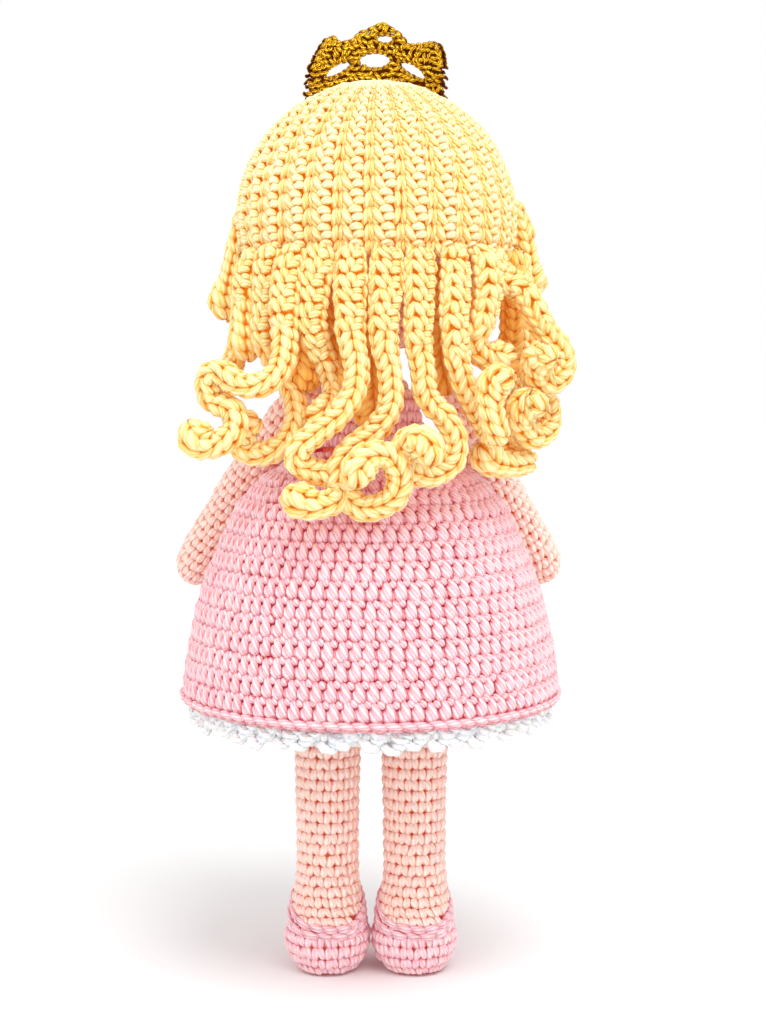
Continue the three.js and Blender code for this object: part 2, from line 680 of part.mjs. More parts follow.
// Locks: routes down from the cap, in shares of the cap's radius from the head's centre
const lockRouteShares = {
  left_temple: [
    [0.83, -0.16, 0.28], [0.91, -0.12, 0.08], [0.98, -0.08, -0.14], [1.04, -0.04, -0.4],
    [1.08, 0, -0.58], [1.07, 0.02, -0.7],
  ],
  left_ear: [
    [0.88, 0.2, -0.32], [0.94, 0.27, -0.8], [1.01, 0.41, -1.06], [1.11, 0.61, -1.25],
  ],
  left_cheek: [
    [0.86, 0.53, -0.33], [0.9, 0.57, -0.6], [0.9, 0.57, -0.8], [0.88, 0.55, -0.99],
  ],
  left_bowl: [
    [0.74, 0.71, -0.34], [0.75, 0.71, -0.74], [0.73, 0.69, -0.94], [0.63, 0.65, -1.12],
    [0.55, 0.67, -1.28], [0.55, 0.71, -1.45], [0.64, 0.76, -1.59], [0.78, 0.78, -1.64],
    [0.9, 0.8, -1.59], [0.9, 0.82, -1.47], [0.8, 0.84, -1.42],
  ],
  left_wave: [
    [0.58, 0.88, -0.35], [0.61, 0.94, -0.61], [0.61, 0.96, -0.91], [0.63, 0.98, -1.05],
    [0.74, 1.02, -1.16], [0.89, 1.04, -1.17], [1.03, 1.04, -1.09], [1.12, 1, -1.13],
    [1.09, 0.96, -1.27], [0.95, 1, -1.35], [0.94, 1.02, -1.48], [1.07, 1.02, -1.57],
    [1.18, 1.02, -1.54], [1.24, 1, -1.43],
  ],
  left_back: [
    [0.39, 0.94, -0.35], [0.43, 0.94, -0.71], [0.39, 0.88, -0.91], [0.31, 0.8, -1.09],
    [0.28, 0.78, -1.25], [0.35, 0.84, -1.36], [0.46, 0.88, -1.39],
  ],
  centre_sway: [
    [0.17, 0.98, -0.36], [0.17, 1.04, -0.81], [0.13, 1.06, -1.04], [0.15, 1.08, -1.22],
    [0.26, 1.1, -1.38], [0.4, 1.12, -1.49], [0.51, 1.12, -1.59], [0.51, 1.08, -1.69],
    [0.39, 1.03, -1.75], [0.26, 1.05, -1.79], [0.24, 1.1, -1.9], [0.36, 1.14, -1.96],
    [0.49, 1.14, -1.94], [0.59, 1.1, -1.88],
  ],
  centre_inner: [
    [0.03, 0.73, -0.34], [0.05, 0.76, -0.87], [0.03, 0.76, -1.18], [0.07, 0.78, -1.45],
  ],
  centre_curl: [
    [-0.07, 0.98, -0.36], [-0.05, 1.04, -0.84], [-0.09, 1.04, -1.08], [-0.09, 1.04, -1.31],
    [0.01, 1.04, -1.48], [0.15, 1.06, -1.58], [0.24, 1.08, -1.73], [0.21, 1.08, -1.89],
    [0.07, 1.1, -1.99], [-0.1, 1.14, -1.93], [-0.16, 1.17, -1.79], [-0.1, 1.21, -1.65],
    [0.02, 1.26, -1.62], [0.11, 1.29, -1.71], [0.12, 1.31, -1.82],
  ],
  right_curl: [
    [-0.29, 0.94, -0.35], [-0.28, 1, -0.84], [-0.31, 1, -1.08], [-0.34, 0.98, -1.26],
    [-0.46, 0.98, -1.39], [-0.53, 0.98, -1.53], [-0.51, 0.98, -1.67], [-0.4, 1, -1.76],
    [-0.28, 1.04, -1.76], [-0.18, 1.1, -1.68], [-0.18, 1.16, -1.57], [-0.26, 1.24, -1.52],
    [-0.34, 1.29, -1.59], [-0.35, 1.31, -1.68],
  ],
  right_back: [
    [-0.53, 0.86, -0.35], [-0.52, 0.94, -0.74], [-0.53, 0.96, -0.94], [-0.57, 0.92, -1.13],
    [-0.64, 0.86, -1.28], [-0.71, 0.86, -1.42], [-0.77, 0.92, -1.5], [-0.8, 1.02, -1.5],
    [-0.77, 1.1, -1.4], [-0.75, 1.11, -1.26], [-0.79, 1.12, -1.15], [-0.88, 1.17, -1.12],
  ],
  right_hook: [
    [-0.74, 0.76, -0.34], [-0.74, 0.8, -0.6], [-0.69, 0.82, -0.78], [-0.67, 0.78, -0.91],
    [-0.78, 0.71, -0.99], [-0.93, 0.67, -0.95],
  ],
  right_loop: [
    [-0.84, 0.59, -0.43], [-0.98, 0.61, -0.51], [-1.07, 0.61, -0.65], [-1.16, 0.57, -0.81],
    [-1.27, 0.55, -0.94], [-1.28, 0.57, -1.08], [-1.17, 0.63, -1.17], [-1.07, 0.71, -1.1],
    [-1.11, 0.8, -0.99], [-1.19, 0.86, -1.01],
  ],
  right_inner: [
    [-0.95, 0.29, -0.32], [-0.95, 0.31, -0.73], [-0.91, 0.35, -0.97], [-0.83, 0.43, -1.14],
  ],
  right_ear: [
    [-1.02, 0, -0.31], [-1.06, 0.1, -0.9], [-1.1, 0.24, -1.15], [-1.19, 0.39, -1.32],
    [-1.18, 0.49, -1.48], [-1.06, 0.61, -1.53], [-0.97, 0.71, -1.41], [-1.03, 0.78, -1.3],
    [-1.12, 0.82, -1.34],
  ],
  right_low: [
    [-0.98, -0.2, -0.29], [-0.99, -0.12, -1], [-0.95, 0.04, -1.36], [-0.92, 0.2, -1.57],
    [-0.98, 0.35, -1.69], [-1.03, 0.49, -1.71], [-0.89, 0.63, -1.72], [-0.76, 0.71, -1.68],
    [-0.7, 0.78, -1.59],
  ],
  right_temple: [
    [-0.98, -0.16, 0.12], [-1.04, -0.12, -0.1], [-1.08, -0.08, -0.34], [-1.1, -0.04, -0.55],
  ],
  left_inner: [
    [0.47, 0.69, -0.34], [0.47, 0.69, -0.73], [0.46, 0.67, -1.02], [0.48, 0.67, -1.2],
  ],
  middle_inner: [
    [0.25, 0.73, -0.34], [0.26, 0.73, -0.74], [0.25, 0.73, -1.06], [0.21, 0.76, -1.28],
  ],
  right_middle_inner: [
    [-0.41, 0.67, -0.34], [-0.41, 0.69, -0.73], [-0.42, 0.69, -1.02], [-0.48, 0.69, -1.22],
  ],
  left_fringe: [
    [0.04, -0.87, 0.54], [0.28, -0.89, 0.46], [0.5, -0.84, 0.34], [0.68, -0.77, 0.08],
    [0.76, -0.69, -0.22], [0.78, -0.68, -0.46], [0.85, -0.62, -0.64],
  ],
  right_fringe: [
    [-0.04, -0.87, 0.54], [-0.28, -0.89, 0.46], [-0.5, -0.84, 0.34], [-0.68, -0.77, 0.08],
    [-0.76, -0.69, -0.22], [-0.78, -0.68, -0.46], [-0.85, -0.62, -0.64],
  ],
};

// A lock that hangs from the cap's edge starts a little above it, in line with the cap
const rootReachShare = 0.915;
const rootLevelShare = -0.25;
function rooted(route) {
  const [x, y, z] = route[0];
  const reach = rootReachShare / Math.hypot(x, y);
  return z < rootLevelShare ? [[x * reach, y * reach, rootLevelShare], ...route] : route;
}

// A lock narrows on its way down, and its end curls into a round knob
const lockWidthShares = [[0, 1], [0.35, 1], [0.62, 0.86], [0.85, 0.94], [1, 0.96]];
const lockDepthShares = [[0, 0.72], [0.31, 1], [1, 1]];
const knobWidthShare = 0.2;
const knobDepthShare = 0.5;
const tipShare = 0.55;
function shareAt(shares, t) {
  const k = Math.max(1, shares.findIndex(([place]) => place >= t));
  const [from, low] = shares[k - 1];
  const [to, high] = shares[k];
  return THREE.MathUtils.mapLinear(t, from, to, low, high);
}

function lockGeometry(route, grow) {
  const curve = new THREE.CatmullRomCurve3(
    rooted(route).map(([x, y, z]) => new THREE.Vector3(x, y, z).multiplyScalar(capRadius)),
    false,
    'centripetal',
  );
  const length = curve.getLength();
  const steps = Math.max(8, Math.round(length / (lockHalfWidth * 1.15)));
  const rings = [];
  for (let i = 0; i <= steps; i += 1) {
    const t = i / steps;
    const spot = curve.getPointAt(t);
    const along = curve.getTangentAt(t);
    const outward = new THREE.Vector3(spot.x, spot.y, 0).normalize();
    outward.addScaledVector(along, -outward.dot(along)).normalize();
    const across = along.clone().cross(outward);
    const knob = Math.exp(-((((1 - t) * length) / lockHalfWidth - 1) ** 2));
    const width = shareAt(lockWidthShares, t) + knobWidthShare * knob;
    const depth = shareAt(lockDepthShares, t) + knobDepthShare * knob;
    const rounding = i === steps ? tipShare : 1;
    if (i === 0) {
      spot.addScaledVector(along, -grow);
    }
    if (i === steps) {
      spot.addScaledVector(along, grow);
    }
    const ring = [];
    for (let k = 0; k < lockSides; k += 1) {
      const angle = ((k + 0.5) / lockSides) * Math.PI * 2;
      const wide = (lockHalfWidth * width + grow) * rounding;
      const deep = (lockHalfDepth * depth + grow) * rounding;
      ring.push(spot.clone()
        .addScaledVector(across, Math.cos(angle) * wide)
        .addScaledVector(outward, Math.sin(angle) * deep));
    }
    rings.push(ring);
  }
  return skinned(rings);
}

function locks() {
  const skirtRoom = skirtAround.translate(toHead);
  let taken = skinBall.add(capAround).add(skirtRoom).add(neckAround);
  return Object.entries(lockRouteShares).map(([name, route]) => {
    const lock = mainBody(solid(lockGeometry(route, 0)).subtract(taken));
    taken = taken.add(solid(lockGeometry(route, gap * 1.5)));
    return { name, shape: lock };
  });
}

// Crown: an open strip of scallops and arches, bent to an arc and set on the hair
const crownPeakShares = [
  [-1, 0.46], [-0.94, 0.71], [-0.83, 0.77], [-0.61, 0.71], [-0.43, 0.68], [-0.32, 0.82],
  [-0.25, 0.9], [-0.09, 1], [0.05, 0.93], [0.19, 0.88], [0.35, 0.74], [0.54, 0.74],
  [0.64, 0.82], [0.75, 0.77], [0.88, 0.58], [1, 0.41],
];
const archPlaceShares = [-0.44, 0.05, 0.53];
const topArchShares = [-0.1, 0.76];
function seatAt(run) {
  const angle = run / crownRadius;
  const x = Math.sin(angle) * crownRadius;
  const y = crownSetBack - Math.cos(angle) * crownRadius;
  return Math.sqrt((capRadius + gap) ** 2 - x * x - y * y);
}
function crownShape() {
  const outline = new THREE.Shape();
  const steps = 14;
  outline.moveTo(-crownHalfSpan, seatAt(crownHalfSpan) - fabric);
  for (let i = 1; i <= steps; i += 1) {
    const run = crownHalfSpan * ((i / steps) * 2 - 1);
    outline.lineTo(run, seatAt(run) - fabric);
  }
  crownPeakShares.slice().reverse().forEach(([x, y]) => {
    const run = x * crownHalfSpan;
    outline.lineTo(run, seatAt(run) + y * crownPeak);
  });
  archPlaceShares.forEach((place) => {
    const run = place * crownHalfSpan;
    outline.holes.push(archHole(run, seatAt(run) + crownBand, archWidth, archHeight));
  });
  const [topRun, topRise] = topArchShares;
  const high = seatAt(0) + topRise * crownPeak;
  outline.holes.push(archHole(topRun * crownHalfSpan, high, archWidth / 2, archHeight / 2));
  return outline;
}
function archHole(centre, bottom, width, height) {
  const hole = new THREE.Path();
  hole.moveTo(centre - width / 2, bottom);
  for (let i = 1; i < 6; i += 1) {
    const angle = Math.PI - (i / 6) * Math.PI;
    hole.lineTo(centre + (Math.cos(angle) * width) / 2, bottom + Math.sin(angle) * height);
  }
  hole.lineTo(centre + width / 2, bottom);
  hole.closePath();
  return hole;
}
function crownGeometry() {
  const flat = new THREE.ExtrudeGeometry(crownShape(), {
    depth: crownThickness, bevelEnabled: false, curveSegments: 4,
  });
  const place = flat.getAttribute('position');
  for (let i = 0; i < place.count; i += 1) {
    const angle = place.getX(i) / crownRadius;
    const reach = crownRadius - crownThickness + place.getZ(i);
    place.setXYZ(
      i,
      Math.sin(angle) * reach,
      crownSetBack - Math.cos(angle) * reach,
      place.getY(i),
    );
  }
  return flat;
}
const crown = solid(crownGeometry()).subtract(
  solid(roomBall(capRadius + gap / 2, roomSides * 2, roomRows * 2)),
);

// Assembly: each piece is named and set where the doll holds it
const doll = new THREE.Group();
const head = new THREE.Group();
head.position.copy(headCentre);
doll.add(head);

function add(parent, name, geometry, look) {
  const mesh = new THREE.Mesh(geometry, look);
  mesh.name = name;
  parent.add(mesh);
  return mesh;
}

add(head, 'head', geometryOf(headCover), yarn.skin);
add(head, 'head_stuffing', geometryOf(headStuffing), yarn.stuffing);
add(head, 'hair_cap', geometryOf(cap), yarn.hair);
add(head, 'crown', geometryOf(crown), yarn.gold);
add(head, 'smile_thread', stitched(smileWidth, smileDrop, smileSag, threadRadius), yarn.thread);
add(head, 'nose_thread', stitched(noseWidth, noseDrop, 0, threadRadius * 2), yarn.skin);
legSides.forEach(({ name, side }) => {
  add(head, `eye_${name}`, geometryOf(solid(eyeGeometry(side))), yarn.eye);
  add(head, `eye_washer_${name}`, geometryOf(solid(washerGeometry(side))), yarn.plastic);
});
locks().forEach(({ name, shape }) => {
  add(head, `hair_${name}`, geometryOf(shape), yarn.hair);
});

add(doll, 'torso', geometryOf(torso), yarn.skin);
add(doll, 'torso_stuffing', geometryOf(torsoStuffing), yarn.stuffing);
add(doll, 'neck_rod', rod(rodRadius, rodBottom, rodTop, 10), yarn.wood);
add(doll, 'bodice', geometryOf(bodice), yarn.dress);
add(doll, 'skirt', geometryOf(skirt), yarn.dress);
add(doll, 'skirt_hem', hemCord, yarn.dress);
add(doll, 'petticoat', geometryOf(solid(petticoatGeometry())), yarn.white);

legSides.forEach(({ name, side }) => {
  const leg = new THREE.Group();
  leg.position.set(side * legSpread, 0, 0);
  doll.add(leg);
  const hips = torsoAround.translate([-side * legSpread, 0, 0]);
  const filling = bored(legFill, hips, legWireBore);
  add(leg, `leg_${name}`, geometryOf(legUncut.subtract(hips)), yarn.skin);
  add(leg, `leg_stuffing_${name}`, geometryOf(filling), yarn.stuffing);
  add(leg, `leg_wire_${name}`, rod(wireRadius, insoleTop + gap, wireTop, 8), yarn.wire);
  add(leg, `slipper_${name}`, geometryOf(slipper), yarn.slipper);
  add(leg, `slipper_rim_${name}`, geometryOf(rim()), yarn.slipper);
  add(leg, `insole_${name}`, geometryOf(insole), yarn.card);
  add(leg, `foot_stuffing_${name}`, geometryOf(footStuffing), yarn.stuffing);
});

[
  { name: 'left', side: 1, splay: armSplayLeft, lead: armLeadLeft },
  { name: 'right', side: -1, splay: armSplayRight, lead: armLeadRight },
].forEach(({ name, side, splay, lead }) => {
  const arm = new THREE.Group();
  arm.position.set(side * shoulderHalfSpan, -shoulderForward, shoulderHeight);
  arm.rotation.x = -rad(lead);
  doll.add(arm);
  const pieces = armPieces(armLength, splay, side);
  add(arm, `arm_${name}`, geometryOf(pieces.cover), yarn.skin);
  add(arm, `arm_stuffing_${name}`, geometryOf(pieces.filling), yarn.stuffing);
  add(arm, `arm_thread_${name}`, geometryOf(pieces.thread), yarn.thread);
});

export default doll;
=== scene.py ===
# %% [markdown]
# # A crocheted doll, loop by loop
# The frame is a set of smooth solids: a head, two legs, a bell of a skirt. A real doll is worked
# from one yarn, so its surface is thousands of loops. Paint can't give that outline, so this lesson
# lays real loops of yarn on the frame's surfaces, as a crocheter does, round after round. Every
# chance comes from one seeded dice, so the doll comes out the same each time.

import json
import math

import bpy
import numpy as np
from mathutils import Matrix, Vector
from mathutils.bvhtree import BVHTree


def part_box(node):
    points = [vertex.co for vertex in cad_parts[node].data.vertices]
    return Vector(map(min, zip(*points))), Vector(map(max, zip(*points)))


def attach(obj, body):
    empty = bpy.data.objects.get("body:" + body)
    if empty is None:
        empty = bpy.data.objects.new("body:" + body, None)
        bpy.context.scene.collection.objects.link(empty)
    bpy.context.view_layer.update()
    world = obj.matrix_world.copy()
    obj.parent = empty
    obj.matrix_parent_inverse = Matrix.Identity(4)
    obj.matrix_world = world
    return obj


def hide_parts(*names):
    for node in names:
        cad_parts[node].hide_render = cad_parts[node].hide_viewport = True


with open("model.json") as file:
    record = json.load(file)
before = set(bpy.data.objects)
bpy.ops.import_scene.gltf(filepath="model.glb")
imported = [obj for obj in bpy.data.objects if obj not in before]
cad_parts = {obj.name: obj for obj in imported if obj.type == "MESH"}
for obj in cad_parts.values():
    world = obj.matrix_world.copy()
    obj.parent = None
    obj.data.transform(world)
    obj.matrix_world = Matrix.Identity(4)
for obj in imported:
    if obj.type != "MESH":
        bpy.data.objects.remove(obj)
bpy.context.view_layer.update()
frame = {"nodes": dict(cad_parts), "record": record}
dice = np.random.default_rng(7)

# %% [markdown]
# ## Camera
# The doll is seen from behind, from a little above its waist. A long lens keeps the legs as thick
# as the head would have them. A small vertical shift, and no tilt, keeps upright lines upright.

# %% Camera
camera_distance = 0.700
camera_height = 0.211
camera_side = -0.0042
picture_size = (766, 1024)
focal_pixels = 2000
horizon_pixel = 365
sensor_width = 36

camera = bpy.data.cameras.new("camera")
camera.sensor_width = sensor_width
camera.lens = sensor_width * focal_pixels / picture_size[1]
camera.shift_y = (horizon_pixel - picture_size[1] / 2) / picture_size[1]
camera_object = bpy.data.objects.new("camera", camera)
camera_object.location = (camera_side, camera_distance, camera_height)
camera_object.rotation_euler = (math.pi / 2, 0, math.pi)
bpy.context.scene.collection.objects.link(camera_object)
bpy.context.scene.camera = camera_object
bpy.context.scene.view_settings.view_transform = "Standard"
print("lens", round(camera.lens, 1), "mm, shift", round(camera.shift_y, 3))

# %% [markdown]
# ## Helpers for node trees
# A material in Blender is a small machine of nodes. These helpers make one sum, one blend of two
# colours, one pattern or one bump at a time, so that a material further on reads like a recipe.

# %% Colours and sums
def linear(tone):
    """A colour as a paint chart writes it, 0 to 255, in the renderer's own numbers."""
    return tuple(
        (c / 255 / 12.92) if c <= 10 else ((c / 255 + 0.055) / 1.055) ** 2.4 for c in tone)


def maths(tree, operation, first, second):
    """One sum between two sockets, or a socket and a number."""
    node = tree.nodes.new("ShaderNodeMath")
    node.operation = operation
    for place, value in enumerate((first, second)):
        if isinstance(value, (int, float)):
            node.inputs[place].default_value = value
        else:
            tree.links.new(value, node.inputs[place])
    return node.outputs[0]


def blend_colours(tree, share, low, high):
    """A colour between two, each a socket or a plain colour."""
    node = tree.nodes.new("ShaderNodeMix")
    node.data_type = "RGBA"
    tree.links.new(share, node.inputs["Factor"])
    for socket, value in (("A", low), ("B", high)):
        place = [s for s in node.inputs if s.name == socket and s.type == "RGBA"][0]
        if isinstance(value, tuple):
            place.default_value = (*value, 1)
        else:
            tree.links.new(value, place)
    return [s for s in node.outputs if s.type == "RGBA"][0]


print("a middle grey of 128 is", round(linear((128,))[0], 3), "to the renderer")

# %% Patterns and bumps
def attribute(tree, name):
    """A number that the mesh carries at each of its points."""
    node = tree.nodes.new("ShaderNodeAttribute")
    node.attribute_name = name
    return node.outputs["Fac"]


def texture(tree, kind, scale):
    """A pattern that stays fixed to the piece, so fine that so many patches fill a metre."""
    place = tree.nodes.new("ShaderNodeTexCoord")
    made = tree.nodes.new(kind)
    made.inputs["Scale"].default_value = scale
    tree.links.new(place.outputs["Object"], made.inputs["Vector"])
    return made


def settle(node, values):
    """Sets plain numbers and colours on a node's own sockets."""
    for socket, value in values.items():
        node.inputs[socket].default_value = value


def bumped(tree, shader, height, strength, depth):
    """Tips the light on the surface, as a fine relief of that depth does."""
    bump = tree.nodes.new("ShaderNodeBump")
    settle(bump, {"Strength": strength, "Distance": depth})
    tree.links.new(height, bump.inputs["Height"])
    tree.links.new(bump.outputs[0], shader.inputs["Normal"])


def fresh_material(name):
    """A new material, its tree of nodes and its shader."""
    made = bpy.data.materials.new(name)
    made.use_nodes = True
    return made, made.node_tree, made.node_tree.nodes["Principled BSDF"]


print("helpers ready")

# %% [markdown]
# ## Sky
# White cotton on white paper needs light from all sides, and the sky gives most of it. The camera
# itself sees a plain white sky, and so does anything that mirrors it. So the paper behind the doll
# is white without any more light on the doll.

# %% Sky
sky_level = 0.85


def white_for_camera(tree, lit):
    """Where the camera, or a mirror, looks at it, the surface is white, and elsewhere it is lit."""
    rays = tree.nodes.new("ShaderNodeLightPath")
    seen = maths(tree, "MAXIMUM", rays.outputs["Is Camera Ray"], rays.outputs["Is Glossy Ray"])
    seen = maths(tree, "MAXIMUM", seen, rays.outputs["Is Transmission Ray"])
    white = tree.nodes.new("ShaderNodeBackground")
    settle(white, {"Color": (1, 1, 1, 1), "Strength": 1})
    mix = tree.nodes.new("ShaderNodeMixShader")
    tree.links.new(seen, mix.inputs[0])
    tree.links.new(lit.outputs[0], mix.inputs[1])
    tree.links.new(white.outputs[0], mix.inputs[2])
    return mix


world = bpy.data.worlds.new("studio")
world.use_nodes = True
bpy.context.scene.world = world
sky = world.node_tree.nodes["Background"]
settle(sky, {"Color": (1, 1, 1, 1), "Strength": sky_level})
seen_sky = white_for_camera(world.node_tree, sky)
world.node_tree.links.new(seen_sky.outputs[0], world.node_tree.nodes["World Output"].inputs[0])
print("sky level", sky_level)

# %% [markdown]
# ## Lamps
# Three broad suns give the loops a light side and a dark side. The key light comes from high up,
# the side light fills the shade that it leaves, and the low light reaches under the hem and into
# the curls. A small lamp would draw hard shadows, which soft yarn doesn't show.

# %% Lamps
lamps = {
    "key_light": {"strength": 1.4, "softness": 30, "turn": 22, "height": 60},
    "side_light": {"strength": 0.5, "softness": 50, "turn": -50, "height": 32},
    "low_light": {"strength": 0.75, "softness": 60, "turn": 30, "height": 8},
}


def sun(name, strength, softness, turn, height):
    """A broad lamp; turn is measured round the doll from its back, and height above the floor."""
    lamp = bpy.data.lights.new(name, "SUN")
    lamp.energy = strength
    lamp.angle = math.radians(softness)
    holder = bpy.data.objects.new(name, lamp)
    holder.rotation_euler = (math.radians(90 - height), 0, math.radians(180 + turn))
    bpy.context.scene.collection.objects.link(holder)


for lamp_name, lamp_values in lamps.items():
    sun(lamp_name, **lamp_values)
print(len(lamps), "lamps")

# %% [markdown]
# ## Floor
# The floor is a sheet of pale matt paper, much larger than the doll, so that its edge never shows.
# It keeps the doll's shadow, which says that the doll stands and doesn't float.

# %% Floor
floor_half = 6
floor_tone = 0.86

floor_corners = [(x * floor_half, y * floor_half, 0) for x, y in ((-1, -1), (1, -1), (1, 1), (-1, 1))]
floor_mesh = bpy.data.meshes.new("floor")
floor_mesh.from_pydata(floor_corners, [], [(0, 1, 2, 3)])
floor = bpy.data.objects.new("floor", floor_mesh)
bpy.context.scene.collection.objects.link(floor)
paper, _, paper_shader = fresh_material("paper")
settle(paper_shader, {
    "Base Color": (floor_tone, floor_tone, floor_tone, 1),
    "Roughness": 0.95,
    "Specular IOR Level": 0.1,
})
floor_mesh.materials.append(paper)
print("floor", 2 * floor_half, "m wide")

# %% [markdown]
# ## Cotton yarn
# Yarn is a few thin plies twisted round each other. Every strand in this lesson carries two numbers for
# that: how far round the strand a point is, and how far along it. A slanted stripe made from both gives the
# twist, and paints shade into the grooves between the plies. The strands also know how high they stand out
# of the fabric, and the colour paints light from that: a painted highlight on the tops, and painted shade
# in a deeper colour in the gaps, because the light that reaches the gaps has bounced between the loops and
# comes back deeper in colour. A faint painted glow in the deep colour, stronger in the gaps, stands for the
# light that cotton lets through.

# %% The twist of the plies
ply_count = 6
twist_slope = -0.8


def ply_pattern(tree):
    """The plies of the yarn: 1 on a ply, 0 in the groove between two."""
    coat = tree.nodes.new("ShaderNodeUVMap")
    coat.uv_map = "ply"
    apart = tree.nodes.new("ShaderNodeSeparateXYZ")
    tree.links.new(coat.outputs[0], apart.inputs[0])
    round_it = maths(tree, "MULTIPLY", apart.outputs[0], ply_count)
    along_it = maths(tree, "MULTIPLY", apart.outputs[1], twist_slope)
    stripe = maths(tree, "PINGPONG", maths(tree, "ADD", round_it, along_it), 0.5)
    return maths(tree, "POWER", maths(tree, "MULTIPLY", stripe, 2), 0.5)


print(ply_count, "plies round a strand")

# %% Yarn material
# ply_edge is where the painted shade of the grooves between the plies begins; gap_height and gap_glow set
# the painted glow in the gaps.
ply_edge = 0.75
tint_spread = 0.12
fibre_scale = 2200
fibre_detail = 2
fibre_depth = 0.0004
gap_height = 0.55
gap_glow = 0.35
flush_tone = (242, 130, 132)
cotton_finish = {
    "Specular IOR Level": 0.25,
    "Sheen Weight": 0.2,
    "Sheen Roughness": 0.5,
    "Subsurface Weight": 0.35,
    "Subsurface Radius": (1.0, 0.5, 0.25),
    "Subsurface Scale": 0.0016,
}
metal_finish = {"Sheen Weight": 0, "Subsurface Weight": 0}


def yarn_material(name, light, middle, deep, twist=0.4, turn_point=0.55, glow=0.1,
                  roughness=0.8, metal=0.0, fibre=0.35, relief=0.8):
    """Twisted yarn: painted shade in the gaps and the ply grooves, a painted highlight where it stands out,
    a painted glow, plies and fine fibres.
    """
    made, tree, shader = fresh_material(name)
    height = attribute(tree, "height")
    ply = ply_pattern(tree)
    # Painted shade in the grooves between the plies; twist says how deep it goes.
    groove = maths(tree, "MULTIPLY", maths(tree, "SUBTRACT", ply, ply_edge), twist)
    from_mean = maths(tree, "SUBTRACT", attribute(tree, "tint"), 0.5)
    lift = maths(tree, "MULTIPLY", from_mean, tint_spread)
    lit = maths(tree, "ADD", maths(tree, "ADD", height, groove), lift)
    # The ramp paints the light: the deep tone as shade in the gaps, the light tone as a highlight on the
    # tops.
    ramp = tree.nodes.new("ShaderNodeValToRGB")
    tree.links.new(lit, ramp.inputs["Fac"])
    ramp.color_ramp.elements[0].color = (*linear(deep), 1)
    ramp.color_ramp.elements[1].color = (*linear(light), 1)
    ramp.color_ramp.elements.new(turn_point).color = (*linear(middle), 1)
    blush = attribute(tree, "blush")
    flushed = blend_colours(tree, blush, ramp.outputs["Color"], linear(flush_tone))
    tree.links.new(flushed, shader.inputs["Base Color"])
    fine = texture(tree, "ShaderNodeTexNoise", fibre_scale)
    fine.inputs["Detail"].default_value = fibre_detail
    fuzz = maths(tree, "MULTIPLY", fine.outputs["Fac"], fibre)
    bumped(tree, shader, maths(tree, "ADD", ply, fuzz), relief, fibre_depth)
    settle(shader, {**cotton_finish, "Roughness": roughness, "Metallic": metal})
    if metal:
        settle(shader, metal_finish)
        return made
    # Painted glow in the deep tone: glow everywhere, and more in the gaps by gap_glow.
    depth = maths(tree, "MAXIMUM", maths(tree, "SUBTRACT", gap_height, height), 0)
    shine = maths(tree, "ADD", maths(tree, "MULTIPLY", depth, gap_glow), glow)
    tree.links.new(shine, shader.inputs["Emission Strength"])
    shader.inputs["Emission Color"].default_value = (*linear(deep), 1)
    return made


print("a strand turns deep below a height of", gap_height)

# %% [markdown]
# ## Other materials
# Behind the loops lies the fabric's inside. It shows only through the gaps, so a knotty pattern in a deep
# tone is enough for it; the deep tone is painted shade for those gaps, and it carries a faint painted glow.
# Eyes, washers, rod, wires and insoles are hard, and get a colour and a shine that are a little uneven, as
# moulded and cut pieces are.

# %% Backing and hard materials
knot_scale = 420
knot_shade = 0.55
knot_depth = 0.0006
cloud_scale = 400
cloud_shade = 0.7
cloud_gloss = 0.08


def backing_material(name, tone, glow=0.18):
    """The inside of the fabric, seen only through the gaps between the loops, in painted shade with a faint
    painted glow.
    """
    made, tree, shader = fresh_material(name)
    knots = texture(tree, "ShaderNodeTexVoronoi", knot_scale)
    dark = tuple(c * knot_shade for c in linear(tone))
    mixed = blend_colours(tree, knots.outputs["Distance"], linear(tone), dark)
    tree.links.new(mixed, shader.inputs["Base Color"])
    bumped(tree, shader, knots.outputs["Distance"], 0.6, knot_depth)
    # The emission is a painted glow in the inside's tone.
    settle(shader, {
        "Roughness": 0.95,
        "Specular IOR Level": 0.1,
        "Emission Color": (*linear(tone), 1),
        "Emission Strength": glow,
    })
    return made


def plain_material(name, tone, roughness, metal=0):
    """A hard material, with a little unevenness in its colour and its shine."""
    made, tree, shader = fresh_material(name)
    cloud = texture(tree, "ShaderNodeTexNoise", cloud_scale)
    darker = tuple(c * cloud_shade for c in linear(tone))
    mixed = blend_colours(tree, cloud.outputs["Fac"], darker, linear(tone))
    tree.links.new(mixed, shader.inputs["Base Color"])
    uneven = maths(tree, "MULTIPLY", cloud.outputs["Fac"], cloud_gloss)
    tree.links.new(maths(tree, "ADD", uneven, roughness), shader.inputs["Roughness"])
    shader.inputs["Metallic"].default_value = metal
    return made


print("backing and hard materials ready")

# %% [markdown]
# ## The doll's colours and their painted light
# Each yarn has three tones: the light one, a painted highlight on a loop's top, the middle one that the eye
# takes for the yarn's colour, and the deep one, painted shade in the gaps. The cap's yarn is painted a
# little paler than the locks', because the cap faces the light, and the locks underneath get a yarn painted
# darker, because little light comes there.

